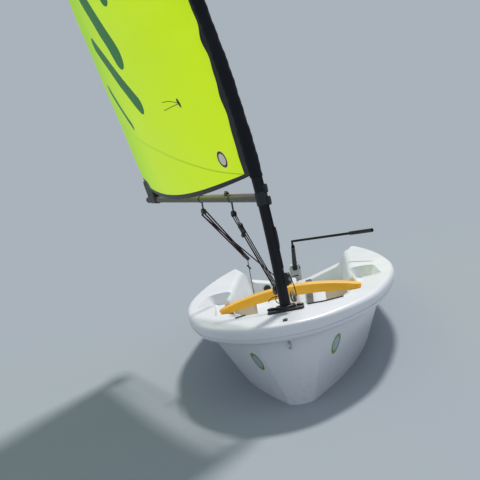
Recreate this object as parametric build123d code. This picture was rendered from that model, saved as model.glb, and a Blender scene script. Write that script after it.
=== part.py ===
from build123d import *
import math
import os

os.makedirs("parts", exist_ok=True)

# A single-handed training dinghy with one sail.  Millimetres and degrees.
# +X points to the bow, +Y to port, +Z up.  The origin is on the design waterline, amidships.

# Hull in plan: nose, shoulder, side and quarter
bow_x = 1800.0
stern_x = -1800.0
half_beam = 735.0
widest_x = -45.0
stern_half_beam = 615.0
nose_radius = 345.0
nose_turn = 42.0
shoulder_turn = 72.0

# Sheer: height of the deck edge at the bow, amidships and at the stern
sheer_bow = 427.0
sheer_mid = 410.0
sheer_stern = 357.0
deck_crown = 12.0

# The rolled rim that stands out past the topsides, with a groove above its lower bead
rim_overhang = 42.0
rim_depth = 78.0
rim_round = 28.0
rim_groove = 5.0
rim_groove_high = 44.0
rim_groove_low = 51.0

# Lower hull: the outline at the keel's depth, the V of the bottom and its rocker
keel_bow_x = 1682.0
keel_half_beam = 415.0
keel_stern_half = 365.0
keel_stern_inset = 10.0
keel_depth = 150.0
keel_low_x = 150.0
stem_radius = 14.0
stem_turn = 66.0
entry_turn = 76.0
deadrise = 10.0
rocker_radius = 14000.0
rocker_reach = 0.64
chine_round = 40.0

# Well: the corners of its plan at the deck edge's height amidships, port side, and its floor
well_front_x = 1300.0
well_front_half = 330.0
well_mid_x = 620.0
well_mid_half = 400.0
well_aft_half = 495.0
well_aft_x = -1640.0
well_floor = 78.0
well_corner = 150.0
well_slope = 12.0
well_floor_round = 40.0
well_edge_round = 45.0

# The dip across the stern: a hollow middle, a straight rise, and shoulders up to the deck
transom_top = 132.0
transom_middle_round = 500.0
transom_rise = 15.0
transom_gap_half = 450.0
transom_gap_fore_half = 320.0
transom_gap_fore_x = -1420.0
transom_gap_slope = 65.0
transom_foot_round = 100.0

# Hand scoops in the side decks, beside the thwart's ends
scoop_aft_x = 90.0
scoop_fore_x = 685.0
scoop_inner = 418.0
scoop_outer = 612.0
scoop_drop = 92.0
scoop_slope = 28.0
scoop_corner = 88.0
scoop_floor_round = 24.0
scoop_ramp_x = 1150.0
scoop_ramp_outer = 430.0

# Thwart and its two pillars
thwart_x = 600.0
thwart_half = 476.0
thwart_gap = 8.0
thwart_tip_z = 376.0
thwart_crown = 72.0
thwart_depth = 62.0
thwart_tip_depth = 36.0
thwart_width = 120.0
thwart_corner = 50.0
thwart_lip = 9.0
thwart_lip_depth = 12.0
thwart_lip_round = 3.0
pillar_y = 215.0
pillar_foot = 105.0
pillar_lean = 20.0
pillar_width = 88.0
pillar_flare = 62.0
pillar_flare_turn = 80.0
pillar_round = 22.0

# Rig: the mast's foot, its rake, and its bend to leeward as lengths above the deck
mast_x = 1400.0
mast_rake = 1.6
mast_radius = 30.0
mast_wall = 2.5
mast_foot = -340.0
mast_joint = 2600.0
mast_length = 4950.0
mast_tip_radius = 22.0
mast_cap = 16.0
mast_cap_edge = 2.0
bend_from = 250.0
bend_to = 1850.0
bend_radius = 8200.0

# Mast collar in the deck, and the plate behind it
collar_gap = 0.06
collar_height = 24.0
collar_flange = 26.0
collar_depth = 120.0
collar_wall = 3.5
collar_seat = 2.0
bore_gap = 0.5
plate_length = 130.0
plate_width = 200.0
plate_corner = 24.0
plate_height = 12.0
plate_gap = 1.0

# Luff sleeve
sleeve_low = 740.0
sleeve_top_gap = 30.0
sleeve_radius = 38.0
sleeve_gap = 0.5

# Boom and what hangs from it, as distances along the boom
gooseneck = 620.0
boom_angle = 27.0
boom_rise = 4.8
boom_start = 60.0
boom_length = 2250.0
boom_radius = 22.0
boom_wall = 2.0
boom_plug = 40.0
boom_plug_edge = 3.0
boom_eye_radius = 12.0
sheet_block_at = 1000.0
sheet_block_radius = 22.0
sheet_block_drop = 40.0
kicker_at = 470.0
kicker_block_radius = 20.0
kicker_drop = 50.0
strap_band_gap = 0.2
strap_band_wall = 2.3
strap_band_width = 20.0

# The jaw on the mast that holds the boom
jaw_band_height = 72.0
jaw_wall = 5.0
jaw_gap = 0.3
jaw_arm_width = 30.0
jaw_arm_height = 44.0
jaw_pin_radius = 6.0
jaw_pin_at = 46.0
jaw_pin_half = 26.0

# The kicker's lower block and its tang on the mast
kicker_low = 105.0
kicker_low_radius = 24.0
kicker_low_reach = 52.0
kicker_low_tilt = 35.0
tang_length = 34.0
tang_width = 8.0
tang_height = 40.0
tang_drop = 18.0

# Every pulley block: two cheeks on a grooved wheel
block_cheek = 5.0
block_gap = 14.0
block_groove = 5.0
block_strap = 13.0

# Sail: strips at heights on the mast, with chord, angle to starboard, camber and rise
sail_columns = ("height", "chord", "angle", "camber", "rise")
sail_rows = [
    (760, 2180, 27.5, 0.045, 4.5),
    (1300, 2060, 31.5, 0.085, 6.0),
    (2150, 1771, 35.2, 0.090, 6.0),
    (3100, 1330, 38.5, 0.080, 7.0),
    (4000, 860, 41.0, 0.065, 9.0),
    (4880, 190, 43.0, 0.030, 12.0),
]
sail_thick = 5.0
sail_gap = 0.5

# Section of both foils, as shares of their thickness and chord
foil_nose = 0.3
foil_nose_turn = 70.0
foil_tail_at = 0.58
foil_tail = 0.06

# Daggerboard and its case
board_x = 330.0
board_chord = 270.0
board_thick = 26.0
board_depth = 800.0
board_tip_share = 0.72
board_tip_thick = 0.7
board_gap = 1.0
slot_gap = 2.0
trunk_wall = 38.0
trunk_wall_end = 48.0
trunk_round = 30.0
trunk_edge = 12.0
trunk_top = 436.0
board_cap_edge = 17.0
board_cap_width = 46.0
board_cap_height = 22.0
board_ring_radius = 20.0
board_ring_wire = 6.0

# Rudder, in its own turned frame
rudder_offset = 48.0
rudder_rest = 3.0
gudgeon_heights = (30.0, 104.0)
gudgeon_radius = 12.0
gudgeon_height = 16.0
gudgeon_width = 24.0
gudgeon_plate = 4.0
gudgeon_plate_width = 60.0
gudgeon_plate_height = 46.0
pintle_radius = 4.0
pintle_gap = 0.05
pintle_rise = 22.0
pintle_arm_low = 12.0
pintle_arm_height = 10.0
pintle_arm_width = 18.0
head_front = 16.0
head_length = 170.0
head_width = 84.0
head_low = 20.0
head_top = 280.0
head_web = 20.0
head_block = 67.0
head_round = 10.0
head_nose = 46.0
head_tail = 60.0
blade_thick = 20.0
blade_side_gap = 1.5
blade_head = 58.0
blade_back_gap = 8.0
blade_pivot_z = 140.0
blade_reach = 770.0
blade_neck = 95.0
blade_flare = 45.0
blade_shoulder_chord = 174.0
blade_root_chord = 205.0
blade_tip_chord = 165.0
blade_lead = 24.0
pivot_radius = 8.0
pivot_gap = 0.1
pivot_head = 14.0
pivot_head_depth = 5.0

# Tiller, its joint and its extension
tiller_aft_z = 240.0
tiller_fore_z = 540.0
tiller_length = 800.0
tiller_root = (46.0, 44.0)
tiller_tip = (30.0, 28.0)
tiller_round = 9.0
socket_gap = 0.4
tiller_seat = 30.0
joint_inset = 24.0
joint_radius = 9.0
joint_flange = 13.0
joint_length = 44.0
extension_angle = 34.0
extension_rise = 2.0
extension_length = 1050.0
extension_radius = 10.0
grip_length = 260.0
grip_wall = 5.0

# Inside the well
strap_mid_x = -820.0
strap_length = 1300.0
strap_y = 110.0
strap_width = 50.0
strap_thick = 4.0
strap_height = 90.0
anchor_length = 20.0
anchor_width = 56.0
sheet_base_x = -350.0
sheet_base_length = 90.0
sheet_base_width = 70.0
sheet_base_height = 40.0
sheet_post_radius = 16.0
sheet_post_height = 60.0
hatch_radius = 34.0
hatch_rise = 66.0
hatch_y = -290.0
hatch_depth = 12.0
hatch_seat = 2.0

# On the bow
bow_eye_z = 322.0
bow_eye_bore = 11.0
bow_eye_wall = 7.0
bow_eye_thick = 8.0
deck_eye_x = 1700.0
deck_eye_length = 44.0
deck_eye_width = 24.0
deck_eye_height = 6.0


def plan_outline(bow, widest, half, stern, stern_half, radius, turn, turn_2):
    """Closed outline in plan: nose, shoulder, side and quarter arcs, each tangent to the last."""
    s1, c1 = math.sin(math.radians(turn)), math.cos(math.radians(turn))
    s2, c2 = math.sin(math.radians(turn_2)), math.cos(math.radians(turn_2))
    # the shoulder's and the side's radii close the outline on the reach and the half-beam
    reach = bow - widest - radius * (1 - c1)
    rise = half - radius * s1
    det = (c1 - c2) * (1 - s2) - c2 * (s2 - s1)
    shoulder_radius = (reach * (1 - s2) - c2 * rise) / det
    side_radius = ((c1 - c2) * rise - reach * (s2 - s1)) / det
    nose = JernArc((bow, 0), (0, 1), radius, turn)
    shoulder = JernArc(nose @ 1, nose % 1, shoulder_radius, turn_2 - turn)
    side = JernArc(shoulder @ 1, shoulder % 1, side_radius, 90 - turn_2)
    run = widest - stern
    fall = half - stern_half
    quarter_radius = (run ** 2 + fall ** 2) / (2 * fall)
    quarter = JernArc(side @ 1, side % 1, quarter_radius, math.degrees(math.asin(run / quarter_radius)))
    port = [nose, shoulder, side, quarter]
    starboard = [edge.mirror(Plane.XZ) for edge in port]
    transom = Line(quarter @ 1, (stern, -stern_half))
    return Face(Wire([*port, transom, *starboard]))


def deck_outline(inset=0.0):
    return plan_outline(bow_x - inset, widest_x, half_beam - inset, stern_x, stern_half_beam - inset,
                        nose_radius - inset, nose_turn, shoulder_turn)


def sheer_at(x):
    """Height of the deck edge: a parabola through the bow, middle and stern heights."""
    u = x / bow_x
    return sheer_mid + (sheer_bow - sheer_stern) / 2 * u + ((sheer_bow + sheer_stern) / 2 - sheer_mid) * u * u


def deck_top(x):
    """Height of the crowned deck on the centreline."""
    return sheer_at(x) + deck_crown


def crowned_section(x, depth):
    """A slab's section across the boat whose top is one arc, level with the deck edge at the rim."""
    wide = half_beam * 1.1
    arc_drop = deck_crown * (wide / half_beam) ** 2
    left, right = Vector(x, wide, deck_top(x) - arc_drop), Vector(x, -wide, deck_top(x) - arc_drop)
    low = sheer_at(x) - depth
    top = ThreePointArc(left, Vector(x, 0, deck_top(x)), right)
    return Face(Wire([top, *Polyline(right, (x, -wide, low), (x, wide, low), left).edges()]))


def sheer_body(depth):
    """The space under the crowned deck surface, down to a depth below the deck edge."""
    stations = [stern_x - rim_overhang, stern_x / 2, 0, bow_x / 2, bow_x + rim_overhang]
    return loft([crowned_section(x, depth) for x in stations])


def lower_outline():
    return plan_outline(keel_bow_x, widest_x, keel_half_beam, stern_x + keel_stern_inset, keel_stern_half,
                        stem_radius, stem_turn, entry_turn)


def bottom_body():
    """A shallow V, turned about a far axis so that the keel has its rocker."""
    reach = half_beam + rim_overhang
    rise = reach * math.tan(math.radians(deadrise))
    roof = 2 * sheer_bow
    outline = Polyline((0, -keel_depth), (reach, rise - keel_depth), (reach, roof), (-reach, roof),
                       (-reach, rise - keel_depth), close=True)
    section = Pos(keel_low_x, 0, 0) * Plane.YZ * Face(Wire(outline))
    axis = Axis((keel_low_x, 0, rocker_radius - keel_depth), (0, 1, 0))
    swing = math.degrees(math.asin((bow_x - stern_x) * rocker_reach / rocker_radius))
    return revolve(section.rotate(axis, -swing), axis, 2 * swing)


def well_half_at(x, z):
    """Half the well's width, aft of where its sides turn in, at a height on its sloping wall."""
    along = (well_mid_x - x) / (well_mid_x - well_aft_x)
    return well_mid_half + (well_aft_half - well_mid_half) * along - (sheer_mid - z) * math.tan(
        math.radians(well_slope))


def cockpit_cutter():
    """The open well: a rounded plan with sloping walls, drawn at the deck and narrowing to the floor."""
    top = deck_top(bow_x)
    grow = (top - sheer_mid) * math.tan(math.radians(well_slope))
    corners = [(well_front_x + grow, well_front_half), (well_mid_x, well_mid_half + grow),
               (well_aft_x - grow, well_aft_half + grow)]
    plan = make_face(Polyline(*corners, *[(x, -y) for x, y in reversed(corners)], close=True))
    plan = fillet(plan.vertices(), well_corner + grow)
    cutter = extrude(Pos(0, 0, top) * plan, amount=-(top - well_floor), taper=well_slope)
    return fillet(cutter.faces().sort_by(Axis.Z)[0].edges(), well_floor_round)


def transom_profile(x, half):
    """The dip's outline across the boat at a station, its straight rise ending at a half-width."""
    slope = math.radians(transom_gap_slope)
    rise = math.radians(transom_rise)
    middle = JernArc((0, transom_top), (1, 0), transom_middle_round, transom_rise)
    run = (half - (middle @ 1).X) / math.cos(rise)
    bank = Line(middle @ 1, middle @ 1 + middle % 1 * run)
    foot = JernArc(bank @ 1, bank % 1, transom_foot_round, transom_gap_slope - transom_rise)
    drop = deck_top(stern_x) + deck_crown - (foot @ 1).Y
    shoulder = JernArc(foot @ 1, foot % 1, drop / (1 - math.cos(slope)), -transom_gap_slope)
    edge = shoulder @ 1
    roof = 2 * sheer_stern
    half_outline = [middle, bank, foot, shoulder, *Polyline(edge, (edge.X, roof), (0, roof)).edges()]
    outline = Face(Wire([*half_outline, *[part.mirror(Plane.YZ) for part in half_outline]]))
    return Plane.YZ.offset(x) * outline


def transom_cutter():
    """The dip across the stern, narrowing forward so that it runs out into the well."""
    aft = transom_profile(stern_x - rim_overhang, transom_gap_half)
    return loft([aft, transom_profile(transom_gap_fore_x, transom_gap_fore_half)], ruled=True)


def scoop_cutter(side):
    """A hand scoop: a round-ended basin in the side deck, open to the well where the thwart crosses it."""
    top = deck_top(scoop_fore_x)
    outline = RectangleRounded(scoop_fore_x - scoop_aft_x, scoop_outer - scoop_inner, scoop_corner)
    plan = Pos((scoop_aft_x + scoop_fore_x) / 2, side * (scoop_inner + scoop_outer) / 2, top) * outline
    basin = extrude(plan, amount=-scoop_drop, taper=scoop_slope)
    basin = fillet(basin.faces().sort_by(Axis.Z)[0].edges(), scoop_floor_round)
    middle = (scoop_inner + scoop_outer) / 2
    notch = Pos(thwart_x, side * middle, top - scoop_drop) * Box(
        thwart_width + 2 * thwart_gap, 2 * (middle - well_half_at(thwart_x, 0)), scoop_drop * 2,
        align=(Align.CENTER, Align.CENTER, Align.MIN))
    half_notch = notch & (Pos(0, side * middle / 2, 0) * Box(2 * bow_x, middle, 2 * bow_x))
    return basin + half_notch + thwart_ramp(side)


def thwart_ramp(side):
    """The hollow in the side deck before the thwart's end, rising forward to the deck."""
    low = deck_top(scoop_fore_x) - scoop_drop
    start = thwart_x + thwart_width / 2
    half = thwart_half + thwart_gap
    rise = (deck_top(scoop_ramp_x) - low) / (scoop_ramp_x - start)
    profile = Polyline((thwart_x, low), (start, low), (scoop_ramp_x + start - thwart_x, deck_top(scoop_ramp_x)
                       + rise * (start - thwart_x)), (thwart_x, 2 * low), close=True)
    wedge = extrude(Plane.XZ * make_face(profile), half_beam, both=True)
    corners = [(thwart_x, 0), (thwart_x, half), (start, half), (scoop_ramp_x, scoop_ramp_outer),
               (scoop_ramp_x, 0)]
    plan = make_face(Polyline(*[(x, side * y) for x, y in corners], close=True))
    return wedge & extrude(plan, 2 * low)


def board_trunk():
    """The raised case that the daggerboard slides in."""
    length = board_chord + 2 * trunk_wall_end
    width = board_thick + 2 * trunk_wall
    low = well_floor - well_floor_round
    block = extrude(Pos(board_x, 0, low) * RectangleRounded(length, width, trunk_round), trunk_top - low)
    return fillet(block.faces().sort_by(Axis.Z)[-1].edges(), trunk_edge)


def board_slot():
    slot = RectangleRounded(board_chord + 2 * slot_gap, board_thick + 2 * slot_gap, board_thick / 2)
    return extrude(Pos(board_x, 0, -2 * keel_depth) * slot, 2 * keel_depth + 2 * trunk_top)


def rim_band():
    """The rolled rim: a slab under the deck surface, rounded, with a groove above its lower bead."""
    rim = sheer_body(rim_depth) & extrude(deck_outline(), amount=2 * sheer_bow)
    along = [edge for edge in rim.edges() if edge.center().X > stern_x + 1 and edge.length > 2 * rim_depth]
    rim = fillet(along, rim_round)
    ring = extrude(deck_outline() - deck_outline(rim_groove), amount=2 * sheer_bow)
    return rim - ((sheer_body(rim_groove_low) - sheer_body(rim_groove_high)) & ring)


def hull_shell():
    """The topsides and bottom before they are cut: two outlines joined by straight lines."""
    low = Pos(0, 0, -keel_depth - keel_stern_inset) * lower_outline()
    return loft([low, Pos(0, 0, sheer_bow) * deck_outline(rim_overhang)], ruled=True)


def bottom_trim(slot):
    """The space the hull keeps: all above the topsides' middle, and the rounded bottom less the board's slot."""
    under = hull_shell() & (bottom_body() - slot)
    chines = [edge for edge in under.edges() if edge.center().Z < well_floor
              and abs(edge.center().Y) > board_chord / 2 and edge.center().X > stern_x + rim_overhang]
    above = Pos(0, 0, transom_top) * Box(
        3 * bow_x, 3 * half_beam, 2 * sheer_bow, align=(Align.CENTER, Align.CENTER, Align.MIN))
    return fillet(chines, chine_round) + above


def hull():
    slot = board_slot()
    body = (hull_shell() & sheer_body(2 * sheer_bow)) + rim_band() - cockpit_cutter()
    well_edges = [edge for edge in body.edges() if edge.center().Z > sheer_stern
                  and abs(edge.center().Y) < well_aft_half and well_aft_x < edge.center().X < mast_x]
    body = fillet(well_edges, well_edge_round) & bottom_trim(slot)
    body -= transom_cutter()
    for side in (1, -1):
        body -= scoop_cutter(side)
    body += board_trunk() - slot
    shaft = collar_bore() + collar_wall + bore_gap
    return body - rig_place() * Pos(0, 0, mast_foot) * extrude(Circle(shaft), 2 * -mast_foot)


def rig_place():
    """The rig's own frame: its origin where the mast meets the deck, its Z up the raked mast."""
    return Pos(mast_x, 0, deck_top(mast_x)) * Rot(0, -mast_rake, 0)


def boom_way():
    """From the rig's frame to the boom's at the gooseneck, whose X runs out along the boom."""
    return Pos(0, 0, gooseneck) * Rot(0, 0, 180 + boom_angle) * Rot(0, -boom_rise, 0)


def boom_place():
    return rig_place() * boom_way()


def mast_point(h):
    """The bent mast's centre at a length above the deck, in the rig's frame."""
    if h <= bend_from:
        return Vector(0, 0, h)
    angle = (min(h, bend_to) - bend_from) / bend_radius
    past = max(h - bend_to, 0)
    return Vector(0, -bend_radius * (1 - math.cos(angle)) - past * math.sin(angle),
                  bend_from + bend_radius * math.sin(angle) + past * math.cos(angle))


def mast_plane(h):
    """The plane across the mast at a length above the deck, in the rig's frame."""
    return Plane(mast_point(h), z_dir=mast_point(h + 1) - mast_point(h - 1))


def mast_path(low, high):
    """The mast's centre line between two lengths: a straight foot, one arc, then a straight top."""
    marks = sorted({low, high, *[v for v in (bend_from, bend_to) if low < v < high]})
    edges = []
    for a, b in zip(marks, marks[1:]):
        if a >= bend_from and b <= bend_to:
            edges.append(ThreePointArc(mast_point(a), mast_point((a + b) / 2), mast_point(b)))
        else:
            edges.append(Line(mast_point(a), mast_point(b)))
    return Wire(edges)


def tube_along(path, outer, inner):
    plane = Plane(path @ 0, z_dir=path % 0)
    return sweep(plane * Circle(outer) - plane * Circle(inner), path=path)


def mast_lower():
    return rig_place() * tube_along(mast_path(mast_foot, mast_joint), mast_radius, mast_radius - mast_wall)


def mast_upper():
    length = mast_length - mast_joint
    base = (Align.CENTER, Align.CENTER, Align.MIN)
    outer = Cone(mast_radius, mast_tip_radius, length, align=base)
    inner = Cone(mast_radius - mast_wall, mast_tip_radius - mast_wall, length, align=base)
    return rig_place() * mast_plane(mast_joint).location * (outer - inner)


def mast_head():
    cap = extrude(Circle(mast_tip_radius + mast_cap_edge), mast_cap)
    cap = fillet(cap.faces().sort_by(Axis.Z)[-1].edges(), mast_cap * 0.4)
    return rig_place() * mast_plane(mast_length).location * cap


def luff_sleeve():
    path = mast_path(sleeve_low, mast_length - sleeve_top_gap)
    return rig_place() * tube_along(path, sleeve_radius, mast_radius + sleeve_gap)


def sail_section(row):
    """One strip of the sail at a height: two parallel arcs from the sleeve to the leech."""
    s = dict(zip(sail_columns, row))
    a = math.radians(s["angle"])
    along = Vector(-math.cos(a), -math.sin(a), 0)
    lee = Vector(math.sin(a), -math.cos(a), 0)
    rise = Vector(0, 0, math.tan(math.radians(s["rise"])))
    luff = mast_point(s["height"]) + along * (sleeve_radius + sail_gap)
    leech = mast_point(s["height"]) + along * s["chord"] + rise * s["chord"]
    belly = (luff + leech) / 2 + lee * s["chord"] * s["camber"]
    shift = lee * sail_thick
    inner = ThreePointArc(luff, belly, leech)
    outer = ThreePointArc(luff + shift, belly + shift, leech + shift)
    return Face(Wire([inner, Line(leech, leech + shift), outer, Line(luff + shift, luff)]))


def sail():
    return rig_place() * loft([sail_section(row) for row in sail_rows], ruled=True)


def boom():
    wall = Plane.YZ * (Circle(boom_radius) - Circle(boom_radius - boom_wall))
    return boom_place() * Pos(boom_start, 0, 0) * extrude(wall, boom_length - boom_start)


def boom_end():
    """The plug in the boom's outer end, with the eye that the sail's corner pulls on."""
    plug = extrude(Plane.YZ * Circle(boom_radius + boom_plug_edge), boom_plug)
    plug = fillet(plug.faces().sort_by(Axis.X)[-1].edges(), boom_plug_edge * 2)
    eye = Pos(boom_plug / 2, 0, boom_radius + boom_eye_radius * 0.7) * extrude(
        Plane.XZ * (Circle(boom_eye_radius) - Circle(boom_eye_radius / 2)), boom_plug / 8, both=True)
    return boom_place() * Pos(boom_length, 0, 0) * (plug + eye)


def gooseneck_fitting():
    """The jaw that holds the boom's inner end, on a band round the mast, with its upright pin."""
    across = mast_plane(gooseneck).location
    bore = across * extrude(Circle(mast_radius + jaw_gap), jaw_band_height, both=True)
    band = across * extrude(Circle(mast_radius + jaw_wall), jaw_band_height / 2, both=True)
    section = Plane.YZ * RectangleRounded(jaw_arm_width, jaw_arm_height, jaw_wall)
    arm = boom_way() * extrude(section, boom_start)
    pin = boom_way() * Pos(jaw_pin_at, 0, 0) * extrude(Circle(jaw_pin_radius), jaw_pin_half, both=True)
    return rig_place() * (band + arm + pin - bore)


def block(radius, drop):
    """A pulley block: two cheeks either side of a grooved wheel, and a strap up from its pin."""
    width = block_gap + 2 * block_cheek
    cheek = extrude(Plane.XZ.offset(-width / 2) * Circle(radius), block_cheek)
    cheek = fillet(cheek.faces().sort_by(Axis.Y)[-1].edges(), block_cheek * 0.4)
    wheel = extrude(Plane.XZ * Circle(radius - 1), block_gap / 2, both=True)
    groove = Torus(radius - 1, block_groove, rotation=(90, 0, 0))
    neck = Box(block_strap, block_strap / 2, radius + drop, align=(Align.CENTER, Align.CENTER, Align.MIN))
    return cheek + cheek.mirror(Plane.XZ) + (wheel - groove) + neck


def boom_strap(at, radius, drop):
    """A block hung under the boom from a band that goes round it."""
    inner = boom_radius + strap_band_gap
    ring = Plane.YZ * (Circle(inner + strap_band_wall) - Circle(inner))
    band = extrude(ring, strap_band_width / 2, both=True)
    hung = Pos(0, 0, -inner - radius - drop) * block(radius, drop)
    return boom_place() * Pos(at, 0, 0) * (band + hung)


def boom_block():
    return boom_strap(sheet_block_at, sheet_block_radius, sheet_block_drop)


def kicker_upper():
    return boom_strap(kicker_at, kicker_block_radius, kicker_drop)


def kicker_lower():
    """The lower block, leaning out along the kicker, and the tang that holds it to the mast."""
    toward = Rot(0, 0, 180 + boom_angle)
    base = Pos(mast_radius + kicker_low_reach, 0, kicker_low) * Rot(0, -kicker_low_tilt, 0) * block(
        kicker_low_radius, kicker_low_radius)
    tang = Pos(mast_radius + sleeve_gap, 0, kicker_low - tang_drop) * Box(
        tang_length, tang_width, tang_height, align=(Align.MIN, Align.CENTER, Align.CENTER))
    return rig_place() * toward * (base + tang)


def collar_bore():
    return mast_radius + collar_gap


def mast_collar():
    """The flanged bearing let into the deck."""
    flange = extrude(Circle(mast_radius + collar_flange), collar_height)
    flange = fillet(flange.faces().sort_by(Axis.Z)[-1].edges(), collar_height / 6)
    sleeve = Pos(0, 0, -collar_depth) * extrude(Circle(collar_bore() + collar_wall), collar_depth + 1)
    bore = Pos(0, 0, -2 * collar_depth) * extrude(Circle(collar_bore()), 4 * collar_depth)
    return rig_place() * Pos(0, 0, collar_seat) * (flange + sleeve - bore)


def step_plate():
    """The low moulded plate round the mast that carries its lead blocks."""
    plate = Pos(0, 0, plate_height - plate_corner * 2) * extrude(
        RectangleRounded(plate_length, plate_width, plate_corner), plate_corner * 2)
    plate = fillet(plate.faces().sort_by(Axis.Z)[-1].edges(), plate_height / 4)
    plate -= extrude(Circle(mast_radius + collar_flange + plate_gap), plate_corner * 3, both=True)
    return rig_place() * plate - sheer_body(rim_depth)


def thwart_arc(depth, tip_depth):
    """An arc across the boat, at a depth below the thwart's top in the middle and at the tips."""
    reach = thwart_half + 1
    middle = (0, thwart_tip_z + thwart_crown - depth)
    return ThreePointArc((-reach, thwart_tip_z - tip_depth), middle, (reach, thwart_tip_z - tip_depth))


def thwart_slice(lower, inset):
    """The thwart between its top arc and a lower one, with rounded ends in plan."""
    top = thwart_arc(0, 0)
    profile = Face(Wire([top, lower, Line(top @ 0, lower @ 0), Line(top @ 1, lower @ 1)]))
    plan = RectangleRounded(thwart_width - 2 * inset, 2 * (thwart_half - inset), thwart_corner - inset)
    return extrude(Plane.YZ * profile, thwart_width, both=True) & extrude(plan, 2 * thwart_tip_z)


def thwart():
    """The arched bar across the well: a deep web under a wider, flat-topped lip."""
    lip = thwart_slice(thwart_arc(thwart_lip_depth, thwart_lip_depth), 0)
    lip = fillet(lip.faces().sort_by(Axis.Z)[-1].edges(), thwart_lip_round)
    web = thwart_slice(thwart_arc(thwart_depth, thwart_tip_depth), thwart_lip)
    return Pos(thwart_x, 0, 0) * (web + lip)


def thwart_pillars():
    """Two gussets that fill the well from its floor to the thwart, flared outboard at the head."""
    under = thwart_arc(thwart_depth, thwart_tip_depth)
    roof = 2 * thwart_tip_z
    sides = Polyline(under @ 1, ((under @ 1).X, roof), ((under @ 0).X, roof), under @ 0).edges()
    cover = extrude(Plane.YZ * Face(Wire([under, *sides])), thwart_width, both=True)
    high = thwart_tip_z + thwart_crown
    foot_y = pillar_y + pillar_foot
    inner = Line((pillar_y, 0), (pillar_y + pillar_lean, high))
    outer = Line((foot_y, 0), (foot_y, thwart_tip_z - thwart_tip_depth - pillar_flare))
    flare = JernArc(outer @ 1, (0, 1), pillar_flare, -pillar_flare_turn)
    crown = Polyline(flare @ 1, ((flare @ 1).X, high), inner @ 1).edges()
    profile = Face(Wire([Line(inner @ 0, outer @ 0), outer, flare, *crown, inner]))
    port = extrude(Plane.YZ * profile, pillar_width / 2, both=True)
    uprights = [edge for edge in port.edges().filter_by(GeomType.LINE) if abs(edge.tangent_at(0.5).Z) > 0.9
                and edge.center().Z < thwart_tip_z - thwart_tip_depth]
    port = Pos(thwart_x, 0, 0) * (fillet(uprights, pillar_round) - cover)
    port = port & cockpit_cutter()
    return Compound(children=[port, port.mirror(Plane.XZ)])


def foil(chord, thick):
    """A foil's section from its nose at X = 0 aft: a round nose, a flat middle and a fine tail."""
    nose = JernArc((0, 0), (0, 1), thick * foil_nose, foil_nose_turn)
    rest = math.radians(90 - foil_nose_turn)
    shoulder_radius = (thick / 2 - (nose @ 1).Y) / (1 - math.cos(rest))
    shoulder = JernArc(nose @ 1, nose % 1, shoulder_radius, 90 - foil_nose_turn)
    flat = Line(shoulder @ 1, (-chord * foil_tail_at, thick / 2))
    tail = Line(flat @ 1, (-chord, thick * foil_tail))
    end = Line(tail @ 1, (-chord, -thick * foil_tail))
    port = [nose, shoulder, flat, tail]
    return Face(Wire([*port, end, *[edge.mirror(Plane.XZ) for edge in port]]))


def daggerboard():
    """A foil that slides in its case, tapered below the hull."""
    chord = board_chord - 2 * board_gap
    nose_x = board_x + chord / 2
    low = -keel_depth - trunk_round
    upper = Pos(nose_x, 0, low) * foil(chord, board_thick - board_gap)
    tip_chord = board_chord * board_tip_share
    tip = foil(tip_chord, board_thick * board_tip_thick)
    tip = Pos(nose_x - (chord - tip_chord) / 2, 0, -board_depth) * tip
    return extrude(upper, trunk_top + board_gap - low) + loft([upper, tip])


def board_head():
    """The stop and grip along the board's top."""
    top = trunk_top + board_gap
    cap = extrude(Pos(board_x, 0, top) * RectangleRounded(board_chord + 2 * board_cap_edge, board_cap_width,
                                                          board_cap_width * 0.45), board_cap_height)
    cap = fillet(cap.faces().sort_by(Axis.Z)[-1].edges(), board_cap_height * 0.3)
    ring = Pos(board_x, 0, top + board_cap_height + board_ring_radius - board_ring_wire / 2) * Torus(
        board_ring_radius, board_ring_wire, rotation=(90, 0, 0))
    return cap + ring


def rudder_axis_x():
    return stern_x - rudder_offset


def gudgeons():
    """Two brackets on the transom, each with an eye for its pin."""
    parts = []
    centre = (Align.MIN, Align.CENTER, Align.CENTER)
    for z in gudgeon_heights:
        axis = Pos(rudder_axis_x(), 0, z)
        eye = axis * extrude(Circle(gudgeon_radius), gudgeon_height / 2, both=True)
        arm = axis * Box(rudder_offset - gudgeon_plate, gudgeon_width, gudgeon_height, align=centre)
        plate = Pos(stern_x - gudgeon_plate, 0, z) * Box(
            gudgeon_plate + keel_stern_inset, gudgeon_plate_width, gudgeon_plate_height, align=centre)
        pin = axis * extrude(Circle(pintle_radius + pintle_gap), 2 * gudgeon_height, both=True)
        parts.append(eye + arm + plate - pin - hull_shell())
    return Compound(children=parts)


def rudder_place():
    """The rudder's frame: on its turning axis, turned to where the helm is held."""
    return Pos(rudder_axis_x(), 0, 0) * Rot(0, 0, rudder_rest)


def pintles():
    """The two pins, each hung from an arm that stands forward of the rudder head."""
    parts = []
    for z in gudgeon_heights:
        pin = Pos(0, 0, z - pintle_rise) * extrude(Circle(pintle_radius), 2 * pintle_rise)
        arm = Pos(-head_front, 0, z + pintle_arm_low) * Box(
            head_front + pintle_arm_width / 2, pintle_arm_width, pintle_arm_height,
            align=(Align.MIN, Align.CENTER, Align.MIN))
        parts.append(pin + arm)
    return rudder_place() * Compound(children=parts)


def blade_pivot():
    return Vector(-head_front - head_web - blade_back_gap - blade_head, 0, blade_pivot_z)


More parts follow.
